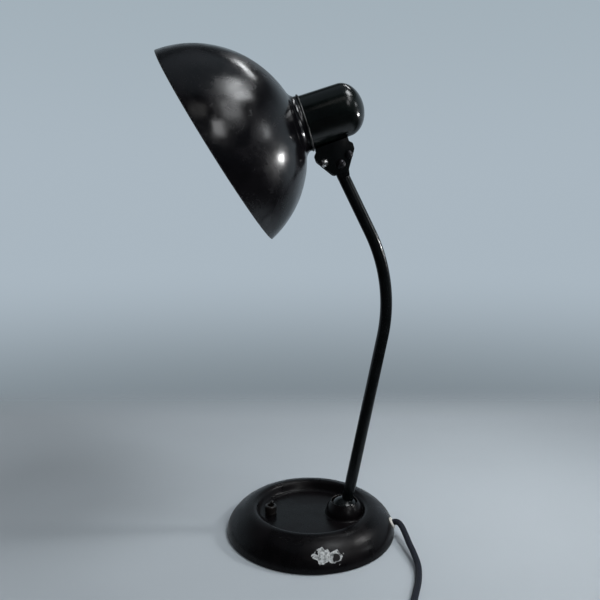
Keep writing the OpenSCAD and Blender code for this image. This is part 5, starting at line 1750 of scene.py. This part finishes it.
        return lathe(np.concatenate([skin(0.0), skin(self.glass)[::-1]]), 96).placed(PLACES.housing_axis())

    def bulb_cap(self) -> Shell:
        """The bulb's screw cap: a rolled thread, an insulator's cone and the contact.

        Along the thread the radius is cap_r + thread_rise cos(2 pi z / pitch - phi), so its crests climb one
        pitch in a turn.

        Returns:
            The shell.
        """
        phi = around(72)
        z = np.linspace(-4.6, 16.4, 90)[:, None]
        fade = smooth_step(z, -4.4, -2.8) * (1 - smooth_step(z, 14.5, 16))
        r = self.cap_r + self.thread_rise * np.cos(2 * np.pi * z / self.thread_pitch - phi) * fade
        wall = np.stack([r * np.cos(phi), r * np.sin(phi), z + 0 * phi], -1)
        mouth = np.array([(11.8, 16.0), (11.8, -2.6), (12.82, -2.6), (12.82, -5.0), (13.0, -5.0)])
        end = np.array([(11.6, 17.0), (10.5, 17.0), (4.6, 19.0), (4.6, 19.7), (4.2, 20.0), (0.0, 20.0),
                        (0.0, 16.0)])
        rows = np.concatenate([turned_rows(mouth, phi), wall, turned_rows(end, phi)])
        return loft(rows, ring_rows=True).welded().placed(PLACES.housing_axis())

    def build(self, shop: Workshop) -> None:
        """Makes the housing, the bead, the shade and the bulb, and dresses the lampholder."""
        shop.piece("housing_shell", self.housing(), Body.HEAD, Slot.HOUSING_PAINT, ("housing",))
        shop.piece("neck_ring", self.bead(), Body.HEAD, Slot.BRIGHT_STEEL, ("neck_bead",), own=RUBBED_RING)
        shop.piece("shade_sheet", self.shade(), Body.HEAD, Slot.SHADE_PAINT, ("shade",), WHITE_ENAMEL, 50)
        shop.piece("bulb_envelope", self.bulb(), Body.HEAD, Slot.GLASS, ("bulb_glass",))
        shop.piece("bulb_screw_cap", self.bulb_cap(), Body.HEAD, Slot.BRASS, ("bulb_cap",))
        shop.dress(Slot.GLASS, "bulb_mount")
        shop.dress(Slot.FILAMENT, "bulb_filament")
        shop.dress(Slot.PORCELAIN, "holder_body")
        shop.dress(Slot.BRASS, "holder_shell", "holder_contact")
        shop.dress(Slot.ZINC, "holder_bracket", "holder_screws")
        shop.dress(Slot.SLEEVE, "holder_leads")
        shop.dress(Slot.BAKELITE, "shade_ring")


def main() -> None:
    """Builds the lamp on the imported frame, group by group."""
    logging.basicConfig(level=logging.INFO, format="%(message)s")
    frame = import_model()
    shop = Workshop(frame["nodes"])
    Studio().build()
    for group in (CordRun(), Foot(), FootJoint(), Switch(), Arm(), HeadJoint(), Head()):
        group.build(shop)
    left = sorted(set(frame["nodes"]) - shop.dressed)
    log.info("nodes without a finish: %s", left or "none")


if __name__ == "__main__":
    main()
